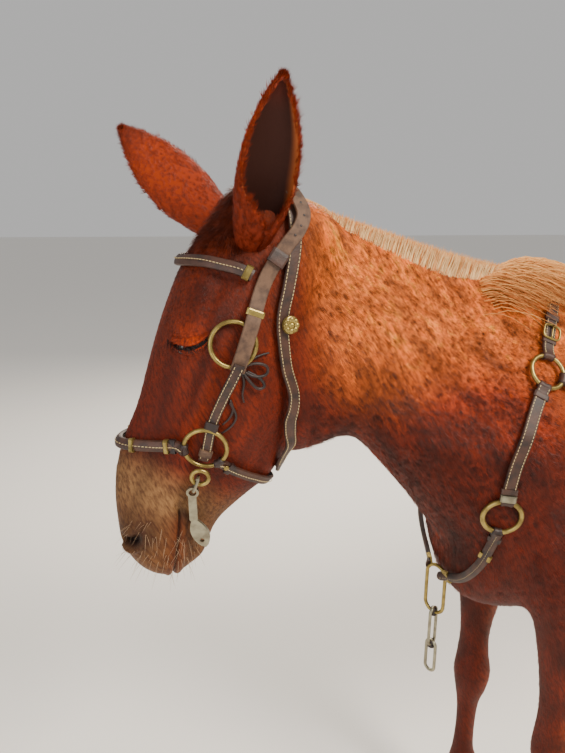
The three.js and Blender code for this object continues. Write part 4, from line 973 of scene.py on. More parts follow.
def strap(name, route, width, thick=0.0042, closed=False, ends=(None, None), puff=0.0, mat=LEATHER, gap=0.004,
          lift=0.0):
    """A strip laid over the skin along a route, as high as the loaded strap. puff rounds its face, and lift
    raises it where it runs over the poll."""
    plain = nodes_bvh([name])
    snapped = [nearest_skin(p)[0] for p in route]
    for i, ring in enumerate(ends):
        if ring:
            centre, axes, radius = ring_frame(ring)
            other = snapped[0] if i == 0 else snapped[-1]
            way = other - centre
            way = unit(way - axes[2] * (way @ axes[2]))
            rim = centre + way * radius
            snapped = [rim] + snapped if i == 0 else snapped + [rim]
    line = even(snapped, gap, closed)
    found = [nearest_skin(p) for p in line]
    foot = np.array([f[0] for f in found])
    normal = unit(average(np.array([f[1] for f in found]), closed, 8))
    if closed:
        way = np.roll(foot, -1, axis=0) - np.roll(foot, 1, axis=0)
    else:
        way = np.gradient(foot, axis=0)
    way = unit(average(way, closed, 3))
    side = unit(np.cross(way, normal))
    normal = np.cross(side, way)
    top = np.full(len(line), np.nan)
    for i in range(len(line)):
        hits = []
        for off in (-0.3, 0, 0.3):
            start = foot[i] + side[i] * off * width + normal[i] * SEEK
            hit = plain.ray_cast(Vector(start), Vector(-normal[i]), 0.10)
            if hit[0] is not None:
                hits.append(SEEK - hit[3])
        if hits:
            top[i] = np.median(hits)
    good = ~np.isnan(top)
    top = np.interp(np.arange(len(top)), np.nonzero(good)[0], top[good])
    top = average(top, closed, 3) + lift * step(0.088, 0.078, np.abs(foot[:, 1]))
    crown = foot + normal * top[:, None]
    half = width / 2
    profile = [(-half, -thick), (half, -thick), (half, -thick * 0.35), (half * 0.9, -thick * 0.02),
               (half * 0.45, puff), (0, puff * 1.3), (-half * 0.45, puff), (-half * 0.9, -thick * 0.02),
               (-half, -thick * 0.35)]
    verts = np.concatenate([crown[:, None] + side[:, None] * a + normal[:, None] * b for a, b in profile],
                           axis=1)
    mesh = face_out(new_mesh(name, verts.reshape(-1, 3), tube_faces(len(line), len(profile), closed)), 0.6)
    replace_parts(add(f"{name}_leather", mesh, mat), name)
    STRAPS[name] = dict(crown=crown, side=side, normal=normal, way=way, width=width, thick=thick)


def on_head(points, side=1):
    return [in_head(a / 1000, f / 1000, side * y / 1000) for a, f, y in points]


def both_sides(half):
    return [(a, f, -y) for a, f, y in half] + [point for point in reversed(half) if point[2] != 0]


def place(points, side=1):
    return [np.array((x, side * y, z)) / 1000 for x, y, z in points]


THROAT = [(403, -136, 28), (340, -122, 50), (285, -98, 72), (232, -62, 93), (173, -32, 99), (120, -24, 95),
          (60, -14, 84), (10, 6, 68), (-12, 42, 46), (-18, 70, 0)]
CROWN = [(258, 10, 107), (191, 13, 105), (123, 12, 95), (77, 2, 90), (40, -10, 82), (14, -8, 70),
         (-14, 30, 48),
         (-20, 60, 0)]
BROW = [(124, 30, 92), (122, 50, 84), (124, 72, 74), (131, 102, 48), (138, 120, 20), (140, 128, 0)]
NOSE = [(408, 46, 64), (418, 68, 52), (430, 94, 34), (440, 114, 18), (444, 124, 0)]
CHIN = [(416, -42, 66), (426, -76, 58), (434, -110, 44), (440, -140, 0)]
LOWER = [(246, 11, 107), (301, 12, 101), (354, 11, 89)]
GIRTH = [(12, 0, 1470), (12, 110, 1420), (12, 190, 1320), (10, 240, 1180), (8, 240, 1000), (6, 190, 840),
         (4, 100, 745)]
WITHER = [(-222, 88, 1304), (-198, 62, 1350), (-178, 36, 1392), (-168, 0, 1420)]
SHOULDER = [(-284, 134, 1194), (-320, 152, 1116)]
BREAST = [(-332, 128, 955), (-338, 108, 905), (-346, 66, 852)]
REAR = [(-170, 150, 1240), (-100, 190, 1225), (-30, 215, 1212), (40, 228, 1200)]

COLLAR_WIDTH = 0.022
strap("throat_strap", on_head(both_sides(THROAT) + [(412, -160, 0)]), 0.020, closed=True)
strap("crown_strap", on_head(both_sides(CROWN)), 0.022, mat=EDGE, lift=0.0045)
strap("browband", on_head(both_sides(BROW)), 0.018, puff=0.0015)
strap("noseband", on_head(both_sides(NOSE)), 0.018, thick=0.006, ends=("nose_ring_left", "nose_ring_right"),
      puff=0.002)
strap("chin_strap", on_head(both_sides(CHIN)), 0.016, ends=("nose_ring_left", "nose_ring_right"))
girth = place(GIRTH, -1) + [np.array((0.004, 0, 0.720))] + place(GIRTH[1:], 1)[::-1]
strap("surcingle", girth, 0.062, closed=True, gap=0.008)
wither = place(WITHER, -1) + place(WITHER[:3], 1)[::-1]
strap("wither_strap", wither, COLLAR_WIDTH, ends=("shoulder_ring_left", "shoulder_ring_right"))
for name, side in (("left", -1), ("right", 1)):
    strap(f"lower_cheek_strap_{name}", on_head(LOWER, side), 0.016, ends=(None, f"bit_ring_{name}"))
    strap(f"shoulder_strap_{name}", place(SHOULDER, side), COLLAR_WIDTH,
          ends=(f"shoulder_ring_{name}", f"chest_ring_{name}"))
    strap(f"breast_strap_{name}", place(BREAST, side), 0.018, thick=0.006,
          ends=(f"chest_ring_{name}", "breast_ring"), puff=0.003)
    strap(f"rear_strap_{name}", place(REAR, side), COLLAR_WIDTH, ends=(f"shoulder_ring_{name}", None))
print("straps swept:", len(STRAPS))

# %% [markdown]
# ## Rings
# A ring is a rod bent round and brazed shut. Small folds of leather hold it to each strap.

# %% Rings of drawn brass
RINGS = {"cheek_ring": (0.033, 0.0035), "nose_ring": (0.033, 0.0035), "bit_ring": (0.013, 0.0035),
         "shoulder_ring": (0.030, 0.0040), "chest_ring": (0.032, 0.0045)}


def rod_faces(n, section, closed=True):
    """Faces round a bent rod, with its two ends shut unless it closes on itself."""
    faces = [(r * section + j, (r + 1) % n * section + j, (r + 1) % n * section + (j + 1) % section,
              r * section + (j + 1) % section) for r in range(n if closed else n - 1) for j in range(section)]
    if not closed:
        faces += [tuple(range(section)), tuple(reversed(range((n - 1) * section, n * section)))]
    return faces


def torus_mesh(name, centre, axes, radius, tube, around=64, section=14):
    u = np.arange(around) / around * 2 * math.pi
    v = np.arange(section) / section * 2 * math.pi
    out = np.cos(u)[:, None] * axes[0] + np.sin(u)[:, None] * axes[1]
    verts = (centre + out[:, None] * (radius + tube * np.cos(v))[None, :, None]
             + (tube * np.sin(v))[None, :, None] * axes[2])
    return face_out(new_mesh(name, verts.reshape(-1, 3), rod_faces(around, section)))


def rod_mesh(name, line, rod, closed=True, section=10):
    """A round rod swept along a line of points."""
    line = np.asarray(line, float)
    if closed:
        way = unit(np.roll(line, -1, axis=0) - np.roll(line, 1, axis=0))
    else:
        way = unit(np.gradient(line, axis=0))
    flat = np.linalg.svd(line - line.mean(0), full_matrices=False)[2][-1]
    out = unit(np.cross(way, flat) + 1e-6)
    up = np.cross(out, way)
    v = np.arange(section) / section * 2 * math.pi
    rod = np.broadcast_to(rod, len(line))[:, None, None]
    verts = line[:, None] + rod * (np.cos(v)[None, :, None] * out[:, None] + np.sin(v)[None, :, None]
                                   * up[:, None])
    return face_out(new_mesh(name, verts.reshape(-1, 3), rod_faces(len(line), section, closed)))


def oval_line(centre, long_way, wide_way, half_long, half_wide, count=48, square=1.0):
    """A closed loop with straight sides and round ends. square above 1 makes its corners tighter."""
    u = np.arange(count) / count * 2 * math.pi
    c, s = np.cos(u), np.sin(u)
    c, s = np.sign(c) * np.abs(c) ** (1 / square), np.sign(s) * np.abs(s) ** (1 / square)
    reach = half_wide * c + np.sign(c) * (half_long - half_wide) * (np.abs(c) > 0.02)
    return centre + reach[:, None] * long_way + (half_wide * s)[:, None] * wide_way


ring_names = [f"{kind}_{side_name}" for kind in RINGS for side_name in ("left", "right")]
for name in ring_names:
    radius, tube = RINGS[name.rsplit("_", 1)[0]]
    centre, axes, _ = ring_frame(name)
    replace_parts(add(f"{name}_round", torus_mesh(name, centre, axes, radius, tube), BRASS), name)
for name, rod, mat in (("breast_ring", 0.0036, BRASS), ("breast_chain_1", 0.0033, STEEL),
                       ("breast_chain_2", 0.0033, STEEL)):
    pts = node_points(name)
    centre = (pts.max(0) + pts.min(0)) / 2
    axes = np.linalg.svd(pts - pts.mean(0), full_matrices=False)[2]
    half_long, half_wide = (np.abs((pts - centre) @ axes[k]).max() - rod for k in (0, 1))
    mesh = rod_mesh(name, oval_line(centre, axes[0], axes[1], half_long, half_wide), rod)
    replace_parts(add(f"{name}_link", mesh, mat), name)
# These small pieces are kept as they were loaded
for kind, mat in (("rosette", BRASS), ("bit_link", STEEL), ("bit_cheek", STEEL)):
    for side_name in ("left", "right"):
        obj = bpy.data.objects[f"{kind}_{side_name}"]
        obj.data.materials.clear()
        obj.data.materials.append(mat)

# %% [markdown]
# ## Fittings
# What makes tack look used is small: keepers that hold a strap's free end, folds of leather round each
# ring, studs, buckles, and thongs tied where a strap was mended.

# %% Keepers, folds, studs and buckles
KEEPER_MARGIN = 0.0022
FOLD_WALL = 0.0028


def strap_at(name, share):
    """Place, way, side and normal at a share of a strap's length."""
    s = STRAPS[name]
    i = int(round(share * (len(s["crown"]) - 1)))
    return [s[k][i] for k in ("crown", "way", "side", "normal")]


def keeper(label, name, share, length=0.011, mat=LEATHER, rise=0.0022):
    """A band across a strap at a share of its length."""
    at, way, side, normal = strap_at(name, share)
    s = STRAPS[name]
    half, thick = s["width"] / 2 + KEEPER_MARGIN, s["thick"]
    profile = [(-half, -thick), (-half, rise * 0.4), (-half * 0.8, rise), (half * 0.8, rise),
               (half, rise * 0.4),
               (half, -thick)]
    verts = [at + way * a * length / 2 + side * b + normal * c * k for a, k in
             ((-1, 0.8), (-0.6, 1.0), (0.6, 1.0), (1, 0.8)) for b, c in profile]
    mesh = face_out(new_mesh(label, verts, tube_faces(4, len(profile))))
    add(label, mesh, mat, smooth_shade=False)


def fold(label, name, end, ring, tube, mat):
    """The strap's end turned round a ring's rod, with a keeper behind it."""
    at, way, side, normal = strap_at(name, end)
    centre, axes, radius = ring_frame(ring)
    out = unit((at - centre) - axes[2] * ((at - centre) @ axes[2]))
    rim = centre + out * radius
    tangent = np.cross(axes[2], out)
    half = STRAPS[name]["width"] / 2 * 0.92
    line = rim + np.linspace(-half, half, 7)[:, None] * tangent - (np.linspace(-1, 1, 7) ** 2)[:,
                                                                                               None] * out * 0.002
    add(label, rod_mesh(label, line, tube + FOLD_WALL, closed=False, section=12), mat)
    keeper(f"{label}_keeper", name, 0.10 if end == 0 else 0.90, length=0.010, mat=mat)


def stud(label, at, normal, radius, mat=BRASS, flat=0.55):
    """A flattened ball that faces along normal."""
    mesh = ball_mesh(label, 18, 10, radius)
    turn = Vector((0, 0, 1)).rotation_difference(Vector(normal)).to_matrix().to_4x4()
    mesh.transform(Matrix.Translation(Vector(at)) @ turn @ Matrix.Diagonal((1, 1, flat, 1)))
    add(label, mesh, mat)


def buckle(label, name, share, half_long=0.013, margin=0.005, rod=0.0021):
    at, way, side, normal = strap_at(name, share)
    half = STRAPS[name]["width"] / 2 + margin
    loop = oval_line(at + normal * 0.0035, side, way, half, half_long, square=1.7)
    add(label, rod_mesh(label, loop, rod), BRASS)
    tongue = at + normal * 0.0052 + np.linspace(-half_long, half_long, 5)[:, None] * way
    add(f"{label}_tongue", rod_mesh(label, tongue, rod * 0.75, closed=False), BRASS)


# label, strap, end, ring and leather of each fold. tail is this side's end of a strap that crosses the mule
FOLDS_AT_RINGS = [
    ("shoulder_up", "wither_strap", "tail", "shoulder_ring", LEATHER),
    ("shoulder_down", "shoulder_strap_{}", 0, "shoulder_ring", LEATHER),
    ("shoulder_back", "rear_strap_{}", 0, "shoulder_ring", LEATHER),
    ("chest", "shoulder_strap_{}", 1, "chest_ring", LEATHER),
    ("breast", "breast_strap_{}", 0, "chest_ring", DARK_LEATHER),
    ("nose", "noseband", "tail", "nose_ring", DARK_LEATHER),
    ("chin", "chin_strap", "tail", "nose_ring", DARK_LEATHER),
]
# label, strap, share from the near side or from the top, length, material and rise of each band
BANDS = [
    ("band_breast_{}", "breast_strap_{}", 0.30, 0.012, BRASS, 0.0022),
    ("band_breast_end_{}", "breast_strap_{}", 0.93, 0.014, BRASS, 0.0022),
    ("wither_keeper_{}", "wither_strap", 0.24, 0.011, LEATHER, 0.0022),
    ("brow_slider_{}", "browband", 0.03, 0.010, BRASS, 0.0050),
    ("nose_band_{}_1", "noseband", 0.14, 0.007, BRASS, 0.0056),
    ("nose_band_{}_2", "noseband", 0.36, 0.007, BRASS, 0.0056),
    ("crown_keeper_{}_1", "crown_strap", 0.12, 0.009, BRASS, 0.0022),
    ("crown_keeper_{}_2", "crown_strap", 0.24, 0.021, LEATHER, 0.0022),
    ("lower_wrap_{}", "lower_cheek_strap_{}", 0.62, 0.014, DARK_LEATHER, 0.0030),
    ("lower_whipping_{}", "lower_cheek_strap_{}", 0.90, 0.011, EDGE, 0.0040),
    ("chest_band_{}", "shoulder_strap_{}", 0.97, 0.012, STEEL, 0.0050),
]
for name, side in (("left", -1), ("right", 1)):

    def from_near(share):
        """Straps that cross the mule start on its left, so the right side counts back from their end."""
        return share if side < 0 else 1 - share

    for label, on, end, ring, mat in FOLDS_AT_RINGS:
        fold(f"fold_{label}_{name}", on.format(name), from_near(0) if end == "tail" else end,
             f"{ring}_{name}",
             RINGS[ring][1], mat)
    for label, on, share, length, mat, rise in BANDS:
        share = share if "{}" in on else from_near(share)
        keeper(label.format(name), on.format(name), share, length, mat, rise)
    buckle(f"wither_buckle_{name}", "wither_strap", from_near(0.14))
    at, _, _, normal = strap_at("chin_strap", from_near(0.07))
    stud(f"chin_stud_{name}", at + normal * 0.0020, normal, 0.0048)
    for k in range(7):
        at, _, _, normal = strap_at("crown_strap", from_near(0.30 + 0.022 * k))
        stud(f"crown_hole_{name}_{k + 1}", at + normal * 0.0001, normal, 0.0019, DARK_LEATHER, flat=0.25)
    # Flower on the rosette: petals round a knob
    low, high = (np.array(c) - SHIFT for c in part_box(f"rosette_{name}"))
    centre = (low + high) / 2 + [0, side * 0.0035, 0]
    for k in range(8):
        a = k * math.pi / 4
        petal = centre + 0.0085 * np.array([math.cos(a), 0, math.sin(a)])
        stud(f"petal_{name}_{k + 1}", petal, (0, side, 0), 0.0042, flat=0.6)
    stud(f"rosette_knob_{name}", centre + [0, side * 0.001, 0], (0, side, 0), 0.0045)
# Thongs tied behind the cheek strap: two loops and two ends of a bow, and two that hang lower down
THONGS = [[(254, 6), (241, -12), (240, -30), (252, -34), (260, -18), (257, 2)],
          [(257, 4), (266, -10), (276, -28), (270, -38), (260, -26), (256, -4)],
          [(258, 2), (274, -8), (292, -12), (304, -20)], [(255, 2), (240, -4), (228, -16), (220, -30)],
          [(304, 3), (318, -8), (334, -8), (348, -2)], [(308, 2), (326, -16), (344, -16), (362, -6)]]
for name, side in (("left", -1), ("right", 1)):
    for k, route in enumerate(THONGS):
        line = even([(a, f, 0) for a, f in route], 3)
        laid = []
        for i, (a, f, _) in enumerate(line):
            at, normal = skin_from_side(in_head(a / 1000, f / 1000, side * 0.18), side)
            rise = 0.0035 + 0.0045 * math.sin(math.pi * i / (len(line) - 1)) * (k < 2)
            laid.append(np.array(at) + np.array(normal) * rise)
        thin = 0.0024 * np.linspace(1, 0.55 if k > 1 else 1, len(laid))
        add(f"thong_{name}_{k + 1}", rod_mesh("thong", average(np.array(laid), False, 2), thin, closed=False),
            DARK_LEATHER)
    at, normal = (np.array(v) for v in skin_from_side(in_head(0.257, 0.002, side * 0.18), side))
    stud(f"thong_knot_{name}", at + normal * 0.006, normal, 0.0068, DARK_LEATHER)
# Dark bindings where the links of the chain meet
for k, link in enumerate(("breast_ring", "breast_chain_1")):
    pts = node_points(link)
    foot = np.array([*(pts.max(0) + pts.min(0))[:2] / 2, pts[:, 2].min() + 0.004])
    spine = foot + np.linspace(-0.007, 0.009, 7)[:, None] * np.array([0, 0, 1.0])
    mesh = rod_mesh(f"chain_binding_{k + 1}", spine + [[0.0002, 0, 0]],
                    0.0062 + 0.0008 * np.cos(np.linspace(0, 9, 7)),
                    closed=False, section=14)
    add(f"chain_binding_{k + 1}", mesh, DARK_LEATHER)
print("fittings laid")

# %% [markdown]
# ## Hooves
# A mule's hoof is narrow and upright, a cone of horn with a flat sole. Each is a short loft from the hairline
# to the floor, moved with its leg's step.

# %% Hooves of finer horn
# height, front, back, three half-widths, middle (mm)
FRONT_HOOF = [(72, -222, -140, 33, 40, 32, 120), (40, -234, -140, 37, 45, 37, 120),
              (8, -247, -141, 41, 50, 42, 120),
              (0, -248, -141, 41, 50, 42, 120)]
HIND_HOOF = [(72, 888, 964, 32, 38, 31, 120), (40, 876, 966, 36, 43, 36, 120), (8, 862, 966, 40, 47, 41, 120),
             (0, 861, 966, 40, 47, 41, 120)]
for side_name, side in (("left", -1), ("right", 1)):
    for pair, table in (("front", FRONT_HOOF), ("hind", HIND_HOOF)):
        leg = f"{pair}_{side_name}"
        form = loft(leg_rows(table, side, STEPS[leg]), around=56, per=6, inset=0.0)
        mesh = face_out(new_mesh("hoof", *form), 0.8)
        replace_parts(add(f"horn_{leg}", mesh, HORN), f"hoof_{leg}")
print("hooves made")

# %% [markdown]
# ## A scatter made with nodes
# Tufts and stitches are thousands of copies of one small piece. A node group puts the piece on every point
# of a cloud, turned and sized by numbers that the point carries, and makes real mesh of the lot. It also
# writes where each copy is rooted.

# %% Node group


def scatter_group():
    group = bpy.data.node_groups.new("copies on points", "GeometryNodeTree")
    for label, kind in (("Geometry", "Geometry"), ("Piece", "Object"), ("Patch", "Float"),
                        ("Material", "Material")):
        group.interface.new_socket(label, in_out="INPUT", socket_type=f"NodeSocket{kind}")
    group.interface.new_socket("Geometry", in_out="OUTPUT", socket_type="NodeSocketGeometry")

    def node(kind, inputs, **settings):
        """A node with its settings. Each input gets a name or a wire from another node. Gives its outputs."""
        made = group.nodes.new(kind)
        for key, value in settings.items():
            setattr(made, key, value)
        for key, value in inputs.items():
            if isinstance(value, str):
                made.inputs[key].default_value = value
            else:
                group.links.new(value, made.inputs[key])
        return made.outputs

    def attribute(name):
        return node("GeometryNodeInputNamedAttribute", {"Name": name}, data_type="FLOAT_VECTOR")["Attribute"]

    source = node("NodeGroupInput", {})
    piece = node("GeometryNodeObjectInfo", {"Object": source["Piece"]})
    turn = node("FunctionNodeEulerToRotation", {"Euler": attribute("turn")})
    copies = node("GeometryNodeInstanceOnPoints", {"Points": source["Geometry"],
                                                   "Instance": piece["Geometry"],
                                                   "Rotation": turn["Rotation"], "Scale": attribute("size")})
    real = node("GeometryNodeRealizeInstances", {"Geometry": copies["Instances"]})
    scaled = node("ShaderNodeVectorMath", {"Vector": attribute("local"), "Scale": source["Patch"]},
                  operation="SCALE")
    moved = node("ShaderNodeVectorMath", {0: attribute("root"), 1: scaled["Vector"]}, operation="ADD")
    store = node("GeometryNodeStoreNamedAttribute",
                 {"Name": "OFBake", "Geometry": real["Geometry"], "Value": moved["Vector"]},
                 data_type="FLOAT2", domain="CORNER")
    look = node("GeometryNodeSetMaterial", {"Geometry": store["Geometry"], "Material": source["Material"]})
    node("NodeGroupOutput", {"Geometry": look["Geometry"]})
    return group


SCATTER = scatter_group()


def piece_object(name, verts, tris, local):
    mesh = fast_mesh(name, verts, tris)
    att = mesh.attributes.new("local", "FLOAT_VECTOR", "POINT")
    att.data.foreach_set("vector", np.asarray(local, float).ravel())
    return new_object(name, mesh)


def blades(count=3, width=0.15, fan=0.34, spread=0.17, lift=0.05, seed=1):
    """A clump of pointed blades one unit long, lying along +X."""
    r = np.random.default_rng(seed)
    verts, tris, local = [], [], []
    for i in range(count):
        offset = (i / max(count - 1, 1) - 0.5) * 2 * spread + r.uniform(-0.03, 0.03)
        angle = (i / max(count - 1, 1) - 0.5) * 2 * fan + r.uniform(-0.1, 0.1)
        length = r.uniform(0.72, 1.0)
        base = len(verts)
        w = width * r.uniform(0.8, 1.2) / 2
        back = -r.uniform(0, 0.25)
        verts += [(back, offset - w, -0.02), (back, offset + w, -0.02), (back + 0.1, offset, 0.022)]
        verts += [(length * math.cos(angle), offset + length * math.sin(angle), lift * r.uniform(0.2, 1.6))]
        tris += [(base, base + 3, base + 2), (base + 2, base + 3, base + 1), (base + 1, base + 3, base)]
        local += [(0, 0, 0), (0, 1, 0), (0.5, 0.5, 0), (1, 0.5, 0)]
    return verts, tris, local


def turns(x_axis, z_axis):
    """Turning angles that bring +X to x_axis and +Z near z_axis."""
    x = unit(x_axis)
    z = unit(z_axis - x * np.sum(z_axis * x, axis=1, keepdims=True))
    y = np.cross(z, x)
    return np.stack([np.arctan2(y[:, 2], z[:, 2]), np.arcsin(np.clip(-x[:, 2], -1, 1)),
                     np.arctan2(x[:, 1], x[:, 0])], axis=1)


def scatter(name, points, turn, size, tint, root, piece, mat, patch=0.003):
    cloud = bpy.data.meshes.new(name)
    cloud.vertices.add(len(points))
    cloud.vertices.foreach_set("co", np.asarray(points, float).ravel())
    for key, value in (("turn", turn), ("size", size), ("root", root)):
        att = cloud.attributes.new(key, "FLOAT_VECTOR", "POINT")
        att.data.foreach_set("vector", np.asarray(value, float).ravel())
    store_colour(cloud, tint)
    obj = new_object(name, cloud)
    mod = obj.modifiers.new("copies", "NODES")
    mod.node_group = SCATTER
    sockets = {i.name: i.identifier for i in SCATTER.interface.items_tree if i.in_out == "INPUT"}
    mod[sockets["Piece"]] = piece
    mod[sockets["Patch"]] = patch
    mod[sockets["Material"]] = mat
    mesh = made_real(obj)
    mesh.name = name
    for key in ("turn", "size", "root", "local"):
        if key in mesh.attributes:
            mesh.attributes.remove(mesh.attributes[key])
    mesh.polygons.foreach_set("use_smooth", np.zeros(len(mesh.polygons), bool))
    return add(name, mesh, None, smooth_shade=False)


# %% [markdown]
# ## Stitches
# A saddler sews along both edges with pale waxed thread, at four or five stitches to the centimetre on fine
# bridle work and fewer on heavy straps.

# %% Sew the straps
STITCHED = {"throat_strap": 0.0024, "browband": 0.0085, "noseband": 0.0085, "chin_strap": 0.0078,
            "lower_cheek_strap_left": 0.0024, "lower_cheek_strap_right": 0.0024,
            "shoulder_strap_left": 0.0030,
            "shoulder_strap_right": 0.0030, "breast_strap_left": 0.0088, "breast_strap_right": 0.0088,
            "wither_strap": 0.0030, "rear_strap_left": 0.0030, "rear_strap_right": 0.0030}
cube = np.array([(x, y, z) for x in (-1, 1) for y in (-1, 1) for z in (-1, 1)], float)
cube[:, 1:] *= 0.9
cube_tris = [(0, 1, 3), (0, 3, 2), (4, 6, 7), (4, 7, 5), (0, 4, 5), (0, 5, 1), (2, 3, 7), (2, 7, 6),
             (0, 2, 6), (0, 6, 4), (1, 5, 7), (1, 7, 3)]
thread = piece_object("stitch", cube, cube_tris, np.zeros((8, 3)))
STITCH_GAP = 0.0056
sewn = [[], [], []]
for name, inset in STITCHED.items():
    s = STRAPS[name]
    length = np.linalg.norm(np.diff(s["crown"], axis=0), axis=1).sum()
    count = int(length / STITCH_GAP)
    at = np.linspace(1.5, len(s["crown"]) - 2.5, count)
    whole = np.arange(len(s["crown"]))

    def along_strap(values):
        return np.stack([np.interp(at, whole, values[:, k]) for k in range(3)], axis=1)

    # Two rows along the edges of a flat strap, and one down the middle of a padded one
    edge_rows = (-1, 1) if inset < s["width"] * 0.4 else (-0.0001, )
    for row in edge_rows:
        offset = row * (s["width"] / 2 - inset)
        height = 0.0003 if len(edge_rows) == 2 else 0.0022 if s["width"] < 0.0178 else 0.0034
        sewn[0].append(along_strap(s["crown"]) + along_strap(s["side"]) * offset + along_strap(s["normal"])
                       * height)
        sewn[1].append(along_strap(s["way"]))
        sewn[2].append(along_strap(s["normal"]))
sewn = [np.vstack(part) for part in sewn]
n_sewn = len(sewn[0])
scatter("stitching", sewn[0], turns(sewn[1], sewn[2]), np.tile((0.0017, 0.00055, 0.0005), (n_sewn, 1)),
        np.tile(THREAD, (n_sewn, 1)), np.tile((0.5, 0.5, 0), (n_sewn, 1)), thread, STITCH)
bpy.data.objects.remove(thread)
print("stitches:", n_sewn)

# %% [markdown]
# ## Coat
# A mule's summer coat is short and lies flat, but from close by it still breaks the outline. Small pointed
# tufts are rooted all over the skin and lie the way the hair grows: down the face, back and down over the
# neck and the flanks, and straight down the legs. They are shortest on the face and the feet.

# %% Where tufts grow


def unwrap(p, region):
    """A place in the picture plane for a root: each part of the body has a cell of its own."""
    x, y, z = p.T
    along, front, side = head_coords(p)
    turn = {0: np.arctan2(side, front + 0.02), 1: np.arctan2(y, z - 1.28), 2: np.arctan2(y, z - 1.1)}
    far = {0: along / 0.66, 1: (x + 0.70) / 0.60, 2: (x + 0.36) / 1.5}
    u, v = np.zeros(len(p)), np.zeros(len(p))
    for cell in range(3):
        here = region == cell
        u[here] = turn[cell][here] / (2 * math.pi) + 0.5
        v[here] = far[cell][here]
    legs = region == 3
    left, fore = y < 0, x < 0.4
    middle_x = np.where(fore, -0.13, 0.99)
    u[legs] = (np.arctan2(np.abs(y) - 0.125, x - middle_x) / (2 * math.pi) + 0.5)[legs]
    v[legs] = (z / 0.85)[legs]
    cell = region + np.where(legs, left * 1 + fore * 2, 0)
    u, v = np.clip(u, 0.01, 0.99), np.clip(v, 0.01, 0.99)
    return np.stack([(cell % 3 + u) / 3, (cell // 3 + v) / 3, np.zeros(len(p))], axis=1)


tri_p = skin_world[TRI]
tri_c = tri_p.mean(1)
area = 0.5 * np.linalg.norm(np.cross(tri_p[:, 1] - tri_p[:, 0], tri_p[:, 2] - tri_p[:, 0]), axis=1)
region = region_of(tri_c)
DENSITY = np.array([60000, 42000, 12000, 15000]) * 1.0
density = DENSITY[region] * area * (1 + 0.9 * step(0.1, -0.1, tri_c[:, 0]) * (region == 2))
hidden = np.clip(lid_dark + nostril_dark + mouth_dark, 0, 1)[TRI].mean(1) > 0.25
density[hidden] = 0
count = rng.poisson(density)
pick = np.repeat(np.arange(len(TRI)), count)
bary = rng.random((len(pick), 2))
flip = bary.sum(1) > 1
bary[flip] = 1 - bary[flip]
weights = np.column_stack([1 - bary.sum(1), bary])
root = np.einsum("nk,nkj->nj", weights, tri_p[pick])
normal = unit(np.einsum("nk,nkj->nj", weights, SKIN_N[TRI[pick]]))
region = region[pick]

strap_bvh = nodes_bvh([f"{name}_leather" for name in STRAPS])
covered = np.array([strap_bvh.ray_cast(Vector(at - out * 0.002), Vector(out), 0.020)[0] is not None
                    for at, out in zip(root, normal)])
keep = ~covered
root, normal, region = root[keep], normal[keep], region[keep]
print("tufts kept:", len(root), "under straps:", int(covered.sum()))

# %% Grow the coat
way = lie_of(root)
way = unit(way - normal * np.sum(way * normal, axis=1, keepdims=True))
way = way + 0.12 * rng.normal(size=way.shape)
along, front, side = head_coords(root)
length = np.array([0.0090, 0.0180, 0.0190, 0.0120])[region]
length = length * np.where(region == 0, 0.75 + 0.5 * step(0.35, 0.05, along), 1)
length = length * np.where(region == 3, 0.65 + 0.45 * step(0.15, 0.6, root[:, 2]), 1)
wool = (region == 0) * step(0.16, 0.08, along) * step(0.03, 0.07, front)
length = length * (1 + 0.9 * wool) * rng.uniform(0.75, 1.25, len(root))
way = unit(way) + 0.45 * wool[:, None] * np.stack([waves(root, 0.03, 51), waves(root, 0.03, 52), 0 * along],
                                                  axis=1)
way = way - normal * np.sum(way * normal, axis=1, keepdims=True)
lift = np.radians(9 + 10 * wool + 5 * rng.random(len(root)))
direction = unit(way) * np.cos(lift)[:, None] + normal * np.sin(lift)[:, None]
# fine streaks along the lie are partly strand tone and partly painted sheen and shade. glint is a painted
# highlight on about one tuft in five.
fine = np.clip(np.array([0.9, 1.7, 1.1, 0.8])[region] * streaks(root, 0.012, 32), -0.5, 0.8)
spread = np.array([0.18, 0.34, 0.26, 0.14])[region]
glint = np.array([0.25, 0.55, 0.35, 0.2])[region] * (rng.random(len(root)) < 0.22)
shade = coat_colour(root) * np.clip(0.98 + fine + glint + spread * rng.normal(size=len(root)), 0.25, 2.2)[:,
                                                                                                          None]
shade = np.clip(shade, 0, 1)
root_uv = unwrap(root, region)
clump = piece_object("clump", *blades())
size = np.stack([length, length * np.array([0.55, 0.40, 0.45, 0.55])[region], length * 0.42], axis=1)
TUFT_TRIANGLES = 9
MOST_TRIANGLES = 190000
for cell, label in enumerate(("head", "neck", "trunk", "legs")):
    chosen = np.nonzero(region == cell)[0]
    parts = max(1, math.ceil(len(chosen) * TUFT_TRIANGLES / MOST_TRIANGLES))
    order = np.argsort(root[chosen, 0 if cell else 2])
    for k, block in enumerate(np.array_split(chosen[order], parts)):
        scatter(f"coat_{label}_{k + 1}", root[block] - normal[block] * 0.0008,
                turns(direction[block], normal[block]),
                size[block], shade[block], root_uv[block], clump, TUFTS[cell])
    print(f"coat_{label}: {parts} pieces")
print("triangles of the coat:", len(root) * TUFT_TRIANGLES)

# %% [markdown]
# ## Hair on the ears
# The back of the ear carries the same short coat, growing towards the tip, and a fringe of longer hair
# stands along both rims.

